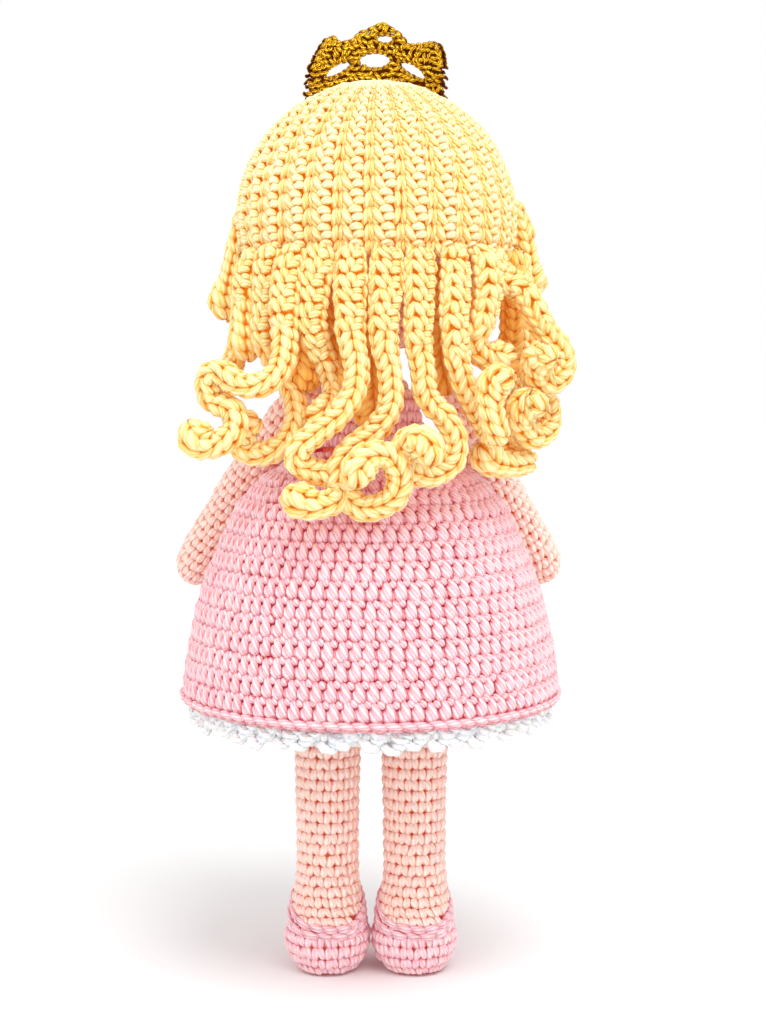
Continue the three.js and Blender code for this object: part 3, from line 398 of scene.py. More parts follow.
# %% Yarns of the body
skin_yarn = yarn_material(
    "skin yarn", light=(254, 230, 220), middle=(250, 192, 174), deep=(222, 92, 62), twist=0.2)
slipper_yarn = yarn_material(
    "slipper yarn", light=(254, 218, 222), middle=(245, 172, 182), deep=(194, 66, 90), twist=0.3)
dress_yarn = yarn_material(
    "dress yarn", light=(254, 220, 224), middle=(246, 166, 176), deep=(206, 54, 78), twist=0.45)
white_yarn = yarn_material(
    "white yarn", light=(252, 251, 250), middle=(236, 234, 234), deep=(202, 198, 198), twist=0.15,
    glow=0.0)
face_yarn = yarn_material(
    "mouth thread", light=(206, 92, 88), middle=(196, 80, 78), deep=(150, 50, 50))
nose_yarn = yarn_material(
    "nose thread", light=(250, 196, 176), middle=(246, 182, 162), deep=(238, 164, 146))
# The insides' tones are painted shade for the gaps between the loops.
skin_back = backing_material("inside of skin", (250, 130, 96))
dress_back = backing_material("inside of dress", (236, 100, 120))
white_back = backing_material("inside of petticoat", (240, 236, 234))
print("yarns of the body ready")

# %% Yarns of the hair and the crown
hair_yarn = yarn_material(
    "hair yarn", light=(255, 242, 186), middle=(253, 206, 98), deep=(238, 112, 2), twist=0.35,
    turn_point=0.62)
# The cap's yarn is the hair yarn painted paler, as lit from above.
cap_yarn = yarn_material(
    "cap yarn", light=(255, 250, 212), middle=(255, 220, 128), deep=(240, 124, 14), twist=0.35,
    turn_point=0.6)
# The hair yarn painted darker, as in shade, with a little more painted glow.
under_yarn = yarn_material(
    "hair yarn underneath", light=(253, 212, 118), middle=(245, 174, 66), deep=(226, 118, 12),
    twist=0.35, glow=0.12)
# The gold's deep tone is painted shade, near-black brown in the gaps, and its light tone a painted
# highlight.
gold_yarn = yarn_material(
    "gold yarn", light=(255, 220, 64), middle=(218, 138, 8), deep=(62, 20, 0), twist=0.5,
    roughness=0.22, metal=0.9, fibre=1.4, relief=0.9)
# The hair's inside is painted shade in deep orange with a painted glow, for the hair seen between the
# locks; the crown's is painted shade, a near-black brown for its dark middle.
hair_back = backing_material("inside of hair", (247, 156, 32), 0.24)
gold_shade = backing_material("inside of crown", (104, 48, 4), 0.1)
print("yarns of the hair and the crown ready")

# %% Hard pieces
eye_black = plain_material("eye plastic", (10, 9, 10), 0.08)
washer_white = plain_material("washer plastic", (226, 226, 220), 0.4)
rod_wood = plain_material("rod wood", (196, 150, 98), 0.7)
wire_metal = plain_material("wire metal", (176, 178, 182), 0.35, metal=1)
card_brown = plain_material("insole card", (170, 136, 98), 0.85)
print(len(bpy.data.materials), "materials")

# %% [markdown]
# ## Lines and rings
# The whole doll is made from two shapes: a line through a few points, and a ring of points. These
# helpers measure a line, smooth it, spread a ring's points evenly and sweep an oval along a line.

# %% Lines and rings
least_length = 1e-9
least_size = 1e-14
least_step = 1e-7
point_size = 1e-6


def unit(vectors):
    """The same directions, each one long."""
    return vectors / np.maximum(np.linalg.norm(vectors, axis=-1, keepdims=True), least_length)


def how_far(line):
    """How far along a line each of its points lies."""
    return np.concatenate([[0.0], np.cumsum(np.linalg.norm(np.diff(line, axis=0), axis=1))])


def around(count):
    """Angles round a ring."""
    return np.arange(count) / count * 2 * math.pi


def ring_at(centre, radius, angles, height):
    """One level ring. The radius and the height are one number, or one for each angle."""
    return np.stack([
        centre[0] + np.cos(angles) * radius,
        centre[1] + np.sin(angles) * radius,
        height + np.zeros(len(angles))], axis=1)


def evened(ring):
    """The same ring with its points evenly apart."""
    closed = np.vstack([ring, ring[:1]])
    far = how_far(closed)
    places = np.linspace(0, far[-1], len(ring), endpoint=False)
    return np.stack([np.interp(places, far, closed[:, k]) for k in range(3)], axis=1)


print("a ring of 6 points is", round(how_far(ring_at((0, 0), 1, around(6), 0))[-1], 2), "round, open")

# %% Smooth lines
def smooth_path(points, shares):
    """A smooth line through a few points, at shares of its length, and its directions there."""
    points = np.asarray(points, float)
    ends = np.vstack([2 * points[0] - points[1], points, 2 * points[-1] - points[-2]])
    spans = len(points) - 1
    place = np.clip(np.asarray(shares, float), 0, 1) * spans
    span = np.minimum(place.astype(int), spans - 1)
    t = (place - span)[:, None]
    a, b, c, d = (ends[span + k] for k in range(4))
    line = 0.5 * (2 * b + (c - a) * t + (2 * a - 5 * b + 4 * c - d) * t ** 2
                  + (3 * b - a - 3 * c + d) * t ** 3)
    slope = 0.5 * ((c - a) + 2 * (2 * a - 5 * b + 4 * c - d) * t
                   + 3 * (3 * b - a - 3 * c + d) * t ** 2)
    return line, unit(slope)


def swept(line, across, out, wide, deep, count):
    """Ovals along a line: so wide one way and so deep the other, at every point of the line."""
    wide = wide[:, None] * np.cos(around(count))
    deep = deep[:, None] * np.sin(around(count))
    return line[:, None] + across[:, None] * wide[..., None] + out[:, None] * deep[..., None]


print("halfway up a bend:", *smooth_path([(0, 0, 0), (1, 1, 0), (2, 0, 0)], (0.5,))[0][0])

# %% [markdown]
# ## Skins
# A skin is the smooth surface that stitches are laid on: rings of points, one above the other. It
# can say where a place is that lies so far along, so far round and so far out. A mesh could do
# that too, but rings keep the rounds of the crochet, which run round a limb and never slant.

# %% Skins
class Skin:
    """Rings of points, closed around, with their outward directions."""

    def __init__(self, rings, sink=0.0):
        self.points = np.asarray(rings, float)
        self.normals = self.facing()
        self.points = self.points - self.normals * sink
        steps = np.linalg.norm(np.diff(self.points, axis=0), axis=2).mean(axis=1)
        self.along = np.concatenate([[0.0], np.cumsum(np.maximum(steps, least_step))])
        sides = np.linalg.norm(np.roll(self.points, -1, 1) - self.points, axis=2)
        self.hoop = sides.sum(axis=1)

    def facing(self):
        """The direction that points out of the surface at every point."""
        sideways = np.roll(self.points, -1, 1) - np.roll(self.points, 1, 1)
        upward = np.gradient(self.points, axis=0)
        normal = np.cross(sideways, upward)
        size = np.linalg.norm(normal, axis=2, keepdims=True)
        normal = np.where(size > least_size, normal / np.maximum(size, least_size), 0)
        away = self.points - self.points.mean(axis=1, keepdims=True)
        if (normal * away).sum() < 0:
            normal = -normal
        for end, inner in ((0, 1), (-1, -2)):
            if self.is_point(end):
                normal[end] = unit(normal[inner].mean(axis=0))
        return normal

    def is_point(self, row):
        """Whether a ring has shrunk to a point."""
        return np.ptp(self.points[row], axis=0).max() < point_size

    def girth(self, along):
        """How long the ring is at a place along the skin."""
        return np.interp(along, self.along, self.hoop)

    def at(self, along, turn, lift):
        """Points that lie along, round and out of the skin."""
        rows, sides = self.points.shape[:2]
        low = np.clip(np.searchsorted(self.along, along, side="right") - 1, 0, rows - 2)
        up = (along - self.along[low]) / (self.along[low + 1] - self.along[low])
        spot = (turn % 1.0) * sides
        left = spot.astype(int) % sides
        over = spot - np.floor(spot)
        right = (left + 1) % sides
        parts = []
        for field in (self.points, self.normals):
            below = field[low, left] * (1 - over)[..., None] + field[low, right] * over[..., None]
            above = (field[low + 1, left] * (1 - over)[..., None]
                     + field[low + 1, right] * over[..., None])
            parts.append(below * (1 - up)[..., None] + above * up[..., None])
        place, normal = parts
        return place + unit(normal) * np.asarray(lift)[..., None]


print("skins ready")

# %% [markdown]
# ## Taking a skin from the frame
# The rings come from the frame itself, by looking at a solid from outside, all the way round a line
# through its middle. So every stitch lies where the solid is, and nothing has to be fitted.

# %% Taking a skin from the frame
look_reach = 0.12
least_radius = 0.0005
softening = {-2: 1, -1: 2, 0: 3, 1: 2, 2: 1}


def surface_of(*nodes):
    """The faces of some CAD nodes, ready to be looked at."""
    points = []
    faces = []
    for node in nodes:
        mesh = frame["nodes"][node].data
        first = len(points)
        points += [v.co.copy() for v in mesh.vertices]
        faces += [[first + i for i in p.vertices] for p in mesh.polygons]
    return BVHTree.FromPolygons(points, faces)


def rings_round(nodes, start, end, shares, sides, level=True):
    """Rings round a straight line that follow the outside of some nodes. Level rings are round."""
    surface = surface_of(*nodes)
    start = Vector(start)
    end = Vector(end)
    axis = (end - start).normalized()
    first = Vector((1, 0, 0)) if abs(axis.x) < 0.5 else Vector((0, 1, 0))
    first = (first - axis * first.dot(axis)).normalized()
    second = axis.cross(first)
    rings = []
    for share in shares:
        centre = start.lerp(end, share)
        ways = [first * math.cos(a) + second * math.sin(a) for a in around(sides)]
        hits = [surface.ray_cast(centre + way * look_reach, -way, look_reach) for way in ways]
        radii = np.array([look_reach - hit[3] if hit[0] is not None else least_radius for hit in hits])
        if level:
            radii[:] = radii.max()
        else:
            near = [np.roll(radii, step) for step in softening]
            radii = np.average(near, axis=0, weights=list(softening.values()))
        ring = np.array([centre + way * r for way, r in zip(ways, radii)])
        rings.append(ring if level else evened(ring))
    return np.stack(rings)


def upright(node, foot, top, middle=0.0):
    """The ends of an upright line through a node, a little inside its foot and its top."""
    low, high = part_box(node)
    return (middle, 0, low.z + foot), (middle, 0, high.z - top)


print("the torso runs from", *(round(end[2], 4) for end in upright("torso", 0, 0)), "m")

# %% [markdown]
# ## Strands
# One loop of yarn shows as a short fat strand with soft ends. It is a tube that swells and closes,
# along three or four points. Six sides are enough for a strand two millimetres thick, and there
# will be tens of thousands of them.

# %% Strands
strand_sides = 6
strand_rows = (0.05, 0.26, 0.5, 0.74, 0.95)
# tip_relief is the painted shade at a strand's two tips.
tip_relief = 0.3


def strand_faces(levels, top):
    """A strand's faces, and where each corner lies: how far round, and how far along."""
    faces = []
    coats = []
    first_tip = len(levels) * strand_sides
    for i in range(len(levels) - 1):
        for j in range(strand_sides):
            k = (j + 1) % strand_sides
            faces.append((i * strand_sides + j, i * strand_sides + k,
                          (i + 1) * strand_sides + k, (i + 1) * strand_sides + j))
            u = (j / strand_sides, (j + 1) / strand_sides)
            v = (levels[i], levels[i + 1])
            coats.append(((u[0], v[0]), (u[1], v[0]), (u[1], v[1]), (u[0], v[1])))
    for end, row, tip in ((0, 0, first_tip), (1, len(levels) - 1, first_tip + 1)):
        for j in range(0, strand_sides, 2):
            a, b, c = (row * strand_sides + (j + n) % strand_sides for n in range(3))
            faces.append((tip, a, b, c) if end else (tip, c, b, a))
            u = [(j + n) / strand_sides for n in range(3)]
            v = levels[row]
            coat = [(u[1], end * top), (u[0], v), (u[1], v), (u[2], v)]
            coats.append(tuple(coat) if end else (coat[0], coat[3], coat[2], coat[1]))
    return np.array(faces), np.array(coats)


def strand(points, radius, belly=1.0, flat=0.9, fullness=0.45):
    """One strand in a cell, in millimetres: x across, y up the fabric, z out of it."""
    rows = np.asarray(strand_rows)
    line, slope = smooth_path(points, rows)
    tips, _ = smooth_path(points, (0.0, 1.0))
    swell = radius * np.sin(math.pi * rows ** belly) ** fullness
    across = unit(np.cross(slope, (0.0, 0.0, 1.0)))
    over = np.cross(across, slope)
    skin = swept(line, across, over, swell, swell * flat, strand_sides)
    corners = np.vstack([skin.reshape(-1, 3), tips[0], tips[1]])
    # relief is painted shade: 1 on the side that faces out of the fabric, 0 on the side that faces into it.
    relief = np.tile((np.sin(around(strand_sides)) + 1) / 2, len(rows))
    relief = np.concatenate([relief, (tip_relief, tip_relief)])
    long = how_far(np.asarray(points, float))[-1] / radius / 2
    faces, coats = strand_faces(rows * long, long)
    return corners, faces, coats, relief


print("a strand has", len(strand([(0, 0, 0), (0, 1, 0), (0, 2, 0)], 1)[1]), "faces")

# %% [markdown]
# ## Stitches
# A stitch is a few strands in a small cell, drawn once in millimetres. Each pattern below was drawn from
# what its stitch shows: two slanted legs for single crochet, a tall leg with a bar beside it for half
# double crochet, two leaves for a chain. In the rib, two strands lie across and catch the light between a
# slim strand in the valley and a fuller one on the far side.

# %% A stitch in its cell
level_share = 0.5


def stitch(width, height, *strands):
    """Some strands as one stitch that fills a cell of that width and height."""
    parts = []
    first = 0
    for number, (corners, faces, coats, relief) in enumerate(strands):
        parts.append((corners, faces + first, coats, np.full(len(corners), number), relief))
        first += len(corners)
    corners, faces, coats, number, relief = (np.concatenate(part) for part in zip(*parts))
    # The height paints light and shade: a point is lighter the farther it stands out of the fabric and the
    # more its side of the strand faces out.
    level = np.clip(corners[:, 2] / corners[:, 2].max(), 0, 1)
    return {
        "cell": np.array([width, height]),
        "corners": corners / [width, height, 1000],
        "faces": faces,
        "coats": coats,
        "height": level_share * level + (1 - level_share) * relief,
        "number": number,
    }


print("a loop is light by its height out of the fabric, with a share of", level_share)

# %% Stitches of the body
single_crochet = stitch(
    4.2, 3.75,
    strand([(-1.35, 4.1, 0.2), (-1.25, 2.4, 0.9), (-0.6, 0.1, 0.5)], 1.5, 0.9, 0.9, 0.36),
    strand([(1.35, 4.0, 0.2), (1.1, 2.3, 1.0), (0.35, -0.1, 0.6)], 1.5, 0.9, 0.9, 0.36),
)
half_double_crochet = stitch(
    4.3, 7.0,
    strand([(-0.7, 7.9, 0.1), (-0.35, 5.6, 1.0), (0.5, 2.8, 1.4), (1.25, 0.1, 0.6)], 1.5, 1.0, 0.85, 0.4),
    strand([(-1.35, 5.0, 0.2), (-1.2, 3.0, 1.1), (-0.5, 1.1, 1.1), (0.2, -0.3, 0.4)], 1.4, 1.0, 0.85, 0.4),
    strand([(1.0, 7.3, 0.2), (1.7, 6.5, 1.1), (2.3, 5.0, 0.6)], 1.4, 1.0, 0.9, 0.4),
    strand([(2.1, 4.6, 0.0), (2.2, 2.6, 0.3), (2.2, 0.4, 0.0)], 1.1),
)
rope_stitch = stitch(
    4.8, 3.2,
    strand([(-3.1, 2.7, 0.4), (0.0, 2.3, 1.1), (3.1, 1.7, 0.5)], 1.25),
    strand([(-3.1, 1.2, 0.2), (0.0, 0.8, 0.8), (3.1, 0.3, 0.2)], 1.15),
)
hem_stitch = stitch(
    4.8, 2.4,
    strand([(-3.6, 1.9, 0.2), (0.0, 1.5, 1.2), (3.4, 0.5, 0.4)], 1.25),
    strand([(-2.6, 0.5, 0.0), (0.6, 0.1, 0.5), (3.6, -0.4, 0.0)], 0.8),
)
frill_stitch = stitch(
    6.0, 4.0,
    strand([(-2.4, 3.4, 0.2), (-2.2, 0.8, 1.3), (-0.4, -0.4, 1.5), (1.6, 0.7, 0.9)], 1.75, 1.0, 0.9, 0.4),
    strand([(-0.6, 2.9, 0.6), (1.2, 1.5, 1.5), (3.0, 3.0, 0.3)], 1.6, 1.0, 0.9, 0.4),
)
print("single crochet:", *single_crochet["cell"], "mm")

# %% Stitches of the hair
rib_stitch = stitch(
    11.2, 5.5,
    strand([(-4.5, 6.6, 0.1), (-5.0, 3.4, 0.6), (-5.3, -0.4, -0.1)], 1.3),
    strand([(-3.9, 6.0, 0.6), (-2.6, 3.2, 1.4), (0.2, 0.1, 0.9)], 1.6),
    strand([(-2.1, 4.6, 1.2), (0.5, 5.5, 1.9), (3.0, 4.4, 1.1)], 1.55),
    strand([(-0.8, 1.9, 1.2), (1.5, 2.9, 1.9), (3.7, 2.4, 1.0)], 1.55),
    strand([(5.0, 6.3, 0.1), (4.2, 3.2, 0.8), (3.4, -0.4, 0.2)], 1.55),
    strand([(-4.0, 3.0, 0.2), (-3.4, 1.2, 0.5), (-2.2, -0.9, 0.2)], 1.2),
)
chain_stitch = stitch(
    6.8, 4.0,
    strand([(-2.7, 5.2, 0.3), (-1.9, 2.7, 1.0), (-0.45, -0.8, 0.7)], 1.65, 0.95),
    strand([(2.7, 5.2, 0.3), (1.8, 2.6, 1.05), (0.3, -0.9, 0.75)], 1.65, 0.95),
)
strip_stitch = stitch(
    9.8, 4.7,
    strand([(-4.3, 5.6, 0.5), (-4.1, 2.9, 1.4), (-2.5, -0.5, 1.3)], 1.5),
    strand([(-2.5, -0.2, 1.4), (-1.4, 2.1, 1.9), (0.5, 4.6, 1.3)], 1.45),
    strand([(-0.7, -0.9, 1.2), (0.5, 0.9, 1.8), (1.9, 3.2, 1.3)], 1.35),
    strand([(1.1, 3.9, 1.2), (2.6, 2.7, 1.9), (4.5, 2.8, 0.7)], 1.5, 1.0, 0.9, 0.38),
    strand([(1.7, 1.2, 1.1), (3.2, 0.6, 1.7), (4.6, 0.5, 0.5)], 1.25, 1.0, 0.9, 0.38),
)
side_stitch = stitch(
    3.2, 4.0,
    strand([(-1.2, -0.5, 0.3), (0.1, 2.0, 1.0), (1.1, 4.7, 0.3)], 1.5),
)
print("rib:", len(rib_stitch["faces"]), "faces a stitch")

# %% [markdown]
# ## Laying stitches
# Laying a stitch means bending its cell onto the skin, for all its copies at once. A hand never
# makes two loops alike, so each copy is shifted, leans and stands out a little differently, and
# each strand gets its own tint. All stitches of a piece become one mesh, because thousands of
# small objects would be slow and couldn't ride on a body together.

# %% Joining a mesh to the doll
def joined(name, mesh, material, body):
    """The mesh as a piece of the doll, riding on its body."""
    mesh.validate()
    mesh.materials.append(material)
    made = bpy.data.objects.new(name, mesh)
    bpy.context.scene.collection.objects.link(made)
    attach(made, body)
    return made


# %% Laying stitches
scale_least = 0.5
scale_most = 1.25
lean_share = 1.2
side_share = 0.6
along_share = 0.5
rise_share = 0.0025


class Work:
    """Fabric in the making: it collects laid stitches until they become one mesh."""

    def __init__(self):
        self.points = []
        self.faces = []
        self.coats = []
        self.height = []
        self.tint = []
        self.count = 0

    def put(self, pattern, place):
        """Takes in one copy of a stitch for each set of places of its corners."""
        copies, size = place.shape[:2]
        first = self.count + np.arange(copies) * size
        self.points.append(place.reshape(-1, 3))
        self.faces.append((pattern["faces"][None] + first[:, None, None]).reshape(-1, 4))
        self.coats.append(np.tile(pattern["coats"], (copies, 1, 1)).reshape(-1, 2))
        self.height.append(np.tile(pattern["height"], copies))
        tints = dice.random((copies, pattern["number"].max() + 1))
        self.tint.append(tints[:, pattern["number"]].ravel())
        self.count += size * copies
        return self

    def lay(self, skin, pattern, cells, loose=0.05, lift=0.0, slopes=0.0):
        """Bends a stitch onto the skin in every cell: along, turn, height and width in turns."""
        if not len(cells):
            return self
        cells = np.asarray(cells, float)
        corners = pattern["corners"]
        low, turn, tall, wide = (cells[:, k, None] for k in range(4))
        real = wide * skin.girth(low + tall / 2) * 1000
        scale = np.clip(np.sqrt(real / pattern["cell"][0]), scale_least, scale_most)
        shake = dice.normal(0, loose, (len(cells), 3, 1))
        lean = dice.normal(0, loose * lean_share, (len(cells), 1))
        across = corners[None, :, 0] + lean * (corners[None, :, 1] - 0.5) + shake[:, 0] * side_share
        along = low + (corners[None, :, 1] + shake[:, 1] * along_share) * tall
        along = along + corners[None, :, 0] * np.reshape(slopes, (-1, 1))
        rise = corners[None, :, 2] * scale + lift + shake[:, 2] * rise_share
        return self.put(pattern, skin.at(along, turn + across * wide, rise))

    def piece(self, name, material, body, slot):
        """The finished mesh, riding on its body."""
        mesh = bpy.data.meshes.new(name)
        points = np.vstack(self.points)
        faces = np.vstack(self.faces)
        mesh.vertices.add(len(points))
        mesh.vertices.foreach_set("co", points.astype(np.float32).ravel())
        mesh.loops.add(faces.size)
        mesh.loops.foreach_set("vertex_index", faces.astype(np.int32).ravel())
        mesh.polygons.add(len(faces))
        mesh.polygons.foreach_set("loop_start", np.arange(0, faces.size, 4, dtype=np.int32))
        mesh.update(calc_edges=True)
        mesh.polygons.foreach_set("use_smooth", np.ones(len(faces), bool))
        coat = mesh.uv_layers.new(name="ply")
        coat.data.foreach_set("uv", np.vstack(self.coats).astype(np.float32).ravel())
        # height carries each point's painted light and shade, tint the random tone of its strand.
        for title, values in (("height", self.height), ("tint", self.tint)):
            layer = mesh.attributes.new(title, "FLOAT", "POINT")
            layer.data.foreach_set("value", np.concatenate(values).astype(np.float32))
        print(name, len(faces) * 2, "triangles")
        return joined(name, mesh, material, body)


print("a stitch may shrink to", scale_least, "and grow to", scale_most, "of its height")

# %% [markdown]
# ## Rounds
# Crochet goes round and round. A round has as many stitches as its girth holds, and each round
# starts half a stitch further on, so that the stitches stand in the gaps of the round below. The
# gauge says how wide and how tall one stitch of each piece is, as a pattern's first line would.

# %% Rounds
fewest_stitches = 6
gauge = {
    "leg": (0.0042, 0.00375),
    "torso": (0.0040, 0.0037),
    "bodice": (0.0042, 0.0038),
    "skirt": (0.0044, 0.0065),
    "petticoat": (0.0044, 0.0038),
    "arm": (0.0041, 0.0038),
    "head": (0.0042, 0.00375),
    "rib": (0.0112, 0.0055),
    "cap top": (0.0044, 0.0040),
}


def rounds(skin, width, height, start=0.0, stop=None, shift=0.5, count=None):
    """Cells in level rounds: as many stitches as each round needs, shifted by a part of one."""
    stop = skin.along[-1] if stop is None else stop
    rows = max(1, round((stop - start) / height))
    tall = (stop - start) / rows
    cells = []
    for row in range(rows):
        low = start + row * tall
        number = count or max(fewest_stitches, round(skin.girth(low + tall / 2) / width))
        turns = (np.arange(number) + shift * row) / number
        cells += [(low, turn, tall, 1 / number) for turn in turns]
    return np.array(cells)


def one_round(lows, turns, tall, width=1.0):
    """Cells of a single round. The first and third values may be one for each stitch."""
    count = len(turns)
    return np.stack([np.broadcast_to(value, count) for value in (lows, turns, tall, width / count)], axis=1)


def kept(skin, cells, test):
    """Only the cells whose middle passes a test on its place."""
    middle = skin.at(cells[:, 0] + cells[:, 2] / 2, cells[:, 1], np.zeros(len(cells)))
    return cells[np.array([bool(test(p)) for p in middle])]


print("a row of the leg is", round(gauge["leg"][1] * 1000, 2), "mm high")

# %% [markdown]
# ## Forms under the stitches
# Stitches alone would be a net with light shining through. Under them lies a smooth closed form,
# which is the stuffed piece, or a sheet with a thickness, where the doll wears loose fabric.

# %% Forms under the stitches
under_stitches = 0.0006
thin_cloth = 0.0008
thick_cloth = 0.0010


def walls(rows, sides, closed=False):
    """Faces between rings of points. Closed joins the last ring to the first."""
    faces = []
    for i in range(rows if closed else rows - 1):
        n = (i + 1) % rows
        for j in range(sides):
            k = (j + 1) % sides
            faces.append((i * sides + j, i * sides + k, n * sides + k, n * sides + j))
    return faces


def mesh_piece(name, points, faces, material, body):
    """A smooth mesh from points and faces, riding on its body."""
    mesh = bpy.data.meshes.new(name)
    mesh.from_pydata(points, [], faces)
    mesh.polygons.foreach_set("use_smooth", np.ones(len(mesh.polygons), bool))
    return joined(name, mesh, material, body)


def form(name, skin, material, body, sink=under_stitches):
    """A smooth closed form: a stuffed piece, a little smaller than its cover."""
    rings = skin.points - skin.normals * sink
    rows, sides = rings.shape[:2]
    points = [tuple(p) for p in rings.reshape(-1, 3)]
    faces = walls(rows, sides)
    for row in (0, rows - 1):
        points.append(tuple(rings[row].mean(axis=0)))
        for j in range(sides):
            a, b = row * sides + j, row * sides + (j + 1) % sides
            faces.append((a, b, len(points) - 1) if row else (b, a, len(points) - 1))
    return mesh_piece(name, points, faces, material, body)


def cloth_shell(name, skin, thickness, material):
    """A sheet of cloth with a thickness, round the body: its outside, its inside and two edges."""
    outside = skin.points - skin.normals * under_stitches
    inside = skin.points - skin.normals * (under_stitches + thickness)
    rings = np.concatenate([outside, inside[::-1]])
    points = [tuple(p) for p in rings.reshape(-1, 3)]
    return mesh_piece(name, points, walls(*rings.shape[:2], closed=True), material, "doll")


print("a form lies", under_stitches * 1000, "mm under its skin")

# %% [markdown]
# ## The slipper's mouth
# A slipper is worked on the same tube as the leg, in another yarn, so one skin serves both. Which
# yarn a stitch is in depends on the slipper's mouth, which is level in front and dips towards the
# heel. One formula says how high the mouth is at any place.

# %% The slipper's mouth
slipper_heel = 0.0138
slipper_rise = 0.55
heel_reach = 0.015
mouth_level = 0.0245
mouth_steps = 300
mouth_share = 0.5


def mouth_height(place):
    """How high the slipper's mouth lies at a place."""
    return np.minimum(slipper_heel + (heel_reach - place[..., 1]) * slipper_rise, mouth_level)


def mouth_along(skin, turns):
    """How far along the skin the slipper's mouth lies, for each turn."""
    heights = np.linspace(0, skin.along[-1] * mouth_share, mouth_steps)
    grid = skin.at(heights[:, None], turns[None, :], np.zeros((mouth_steps, len(turns))))
    above = grid[..., 2] > mouth_height(grid)
    return heights[above.argmax(axis=0)]


print("the heel's edge is", slipper_heel * 1000, "mm high, the front's", mouth_level * 1000)

# %% [markdown]
# ## The leg's skin
# A leg is a straight stuffed tube. At the ankle it spreads into the foot. The frame has the two as
# solids that meet in a step, so the rings there are eased into each other and widened a little.

# %% The leg's skin
side_signs = {"left": 1, "right": -1}
leg_spread = 0.0152
leg_back = -0.001
leg_sides = 64
ankle_low = 0.013
ankle_high = 0.045
ankle_passes = 8
bell_level = 0.0225
bell_reach = 0.0085
bell_share = 0.13
cover_sink = 0.0015
leg_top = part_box("leg_left")[1].z - 0.002
sole_levels = [0.0003, 0.003]
foot_levels = np.arange(0.005, 0.03, 0.0025)
shin_levels = np.arange(0.032, leg_top, 0.004)
leg_levels = np.concatenate([sole_levels, foot_levels, shin_levels])
leg_shares = (leg_levels - leg_levels[0]) / (leg_levels[-1] - leg_levels[0])


def softened(rings, low, high, passes):
    """The same rings with an easier change from one to the next, between two levels."""
    level = rings[:, 0, 2]
    free = ((level > low) & (level < high))[:, None, None]
    for _ in range(passes):
        mean = (np.roll(rings, 1, 0) + 2 * rings + np.roll(rings, -1, 0)) / 4
        rings = np.where(free, mean, rings)
    return rings


def belled(rings):
    """The same rings, wider round the ankle, where the leg spreads into the foot."""
    middle = rings.mean(axis=1, keepdims=True)
    level = rings[:, :1, 2:]
    share = 1 + bell_share * np.exp(-((level - bell_level) / bell_reach) ** 2)
    return middle + (rings - middle) * share


def leg_skin(side):
    """The skin of a leg and its slipper together."""
    ends = [(side_signs[side] * leg_spread, leg_back, z) for z in (leg_levels[0], leg_levels[-1])]
    rings = rings_round([f"leg_{side}", f"slipper_{side}"], *ends, leg_shares, leg_sides, level=False)
    return Skin(belled(softened(rings, ankle_low, ankle_high, ankle_passes)), cover_sink)


print(len(leg_levels), "rings up a leg")

# %% [markdown]
# ## Legs and slippers
# Two ropes of slip stitches run along the slipper's mouth and hide the change of yarn, as they do
# on the real slipper. Above them the stitches are in skin yarn, and below them in slipper yarn.

# %% Legs and slippers
rim_rows = 2
rim_row_height = 0.0030
rim_stitches = 21
rim_lift = 0.0010
rope_half = rim_rows * rim_row_height / 2
clear_above = rope_half * 0.5
clear_below = rope_half * 0.2


def slipper_rim(skin):
    """The ropes of slip stitches that follow the slipper's mouth."""
    turns = (np.arange(rim_stitches) + 0.5) / rim_stitches
    mouth = mouth_along(skin, turns)
    rise = (np.roll(mouth, -1) - np.roll(mouth, 1)) / 2
    work = Work()
    for row in range(rim_rows):
        lows = mouth - rope_half + row * rim_row_height
        cells = one_round(lows, turns + row * 0.5 / rim_stitches, rim_row_height)
        work.lay(skin, rope_stitch, cells, lift=rim_lift, slopes=rise, loose=0.03)
    return work


for side in side_signs:
    stocking = leg_skin(side)
    leg_form = form(f"leg_form_{side}", stocking, skin_back, "doll")
    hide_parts(f"leg_{side}", f"leg_stuffing_{side}", f"foot_stuffing_{side}")
    rim_work = slipper_rim(stocking)
    rim_piece = rim_work.piece(f"slipper_rim_stitches_{side}", slipper_yarn, "doll", "slipper_yarn")
    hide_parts(f"slipper_rim_{side}")
    cells = rounds(stocking, *gauge["leg"])
    above = kept(stocking, cells, lambda p: p[2] > mouth_height(p) + clear_above)
    below = kept(stocking, cells, lambda p: p[2] < mouth_height(p) - clear_below)
    leg_work = Work().lay(stocking, single_crochet, above)
    leg_work.piece(f"leg_stitches_{side}", skin_yarn, "doll", "skin_yarn")
    slipper_work = Work().lay(stocking, single_crochet, below)
    slipper_piece = slipper_work.piece(f"slipper_stitches_{side}", slipper_yarn, "doll", "slipper_yarn")
    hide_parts(f"slipper_{side}")

# %% [markdown]
# ## Torso
# The torso is a stuffed tube that narrows to the neck. The dress hides most of it, so only the
# shoulders and the neck get stitches.

# %% Torso
torso_sides = 64
torso_overlap = 0.002
torso_rows = 40
torso_rings = rings_round(
    ["torso"], *upright("torso", foot=0.001, top=0.0005), np.linspace(0, 1, torso_rows), torso_sides,
    level=False)
torso_skin = Skin(torso_rings, cover_sink)
torso_form = form("torso_form", torso_skin, skin_back, "doll")
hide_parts("torso", "torso_stuffing")
bare_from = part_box("bodice")[1].z - torso_overlap
torso_cells = kept(torso_skin, rounds(torso_skin, *gauge["torso"]), lambda p: p[2] > bare_from)
torso_work = Work().lay(torso_skin, single_crochet, torso_cells)
torso_work.piece("torso_stitches", skin_yarn, "doll", "skin_yarn")

# %% [markdown]
# ## Bodice
# The bodice is a fitted sleeve of single crochet. It is a sheet and not a stuffed piece, so it gets a cloth
# with a thickness under its stitches.

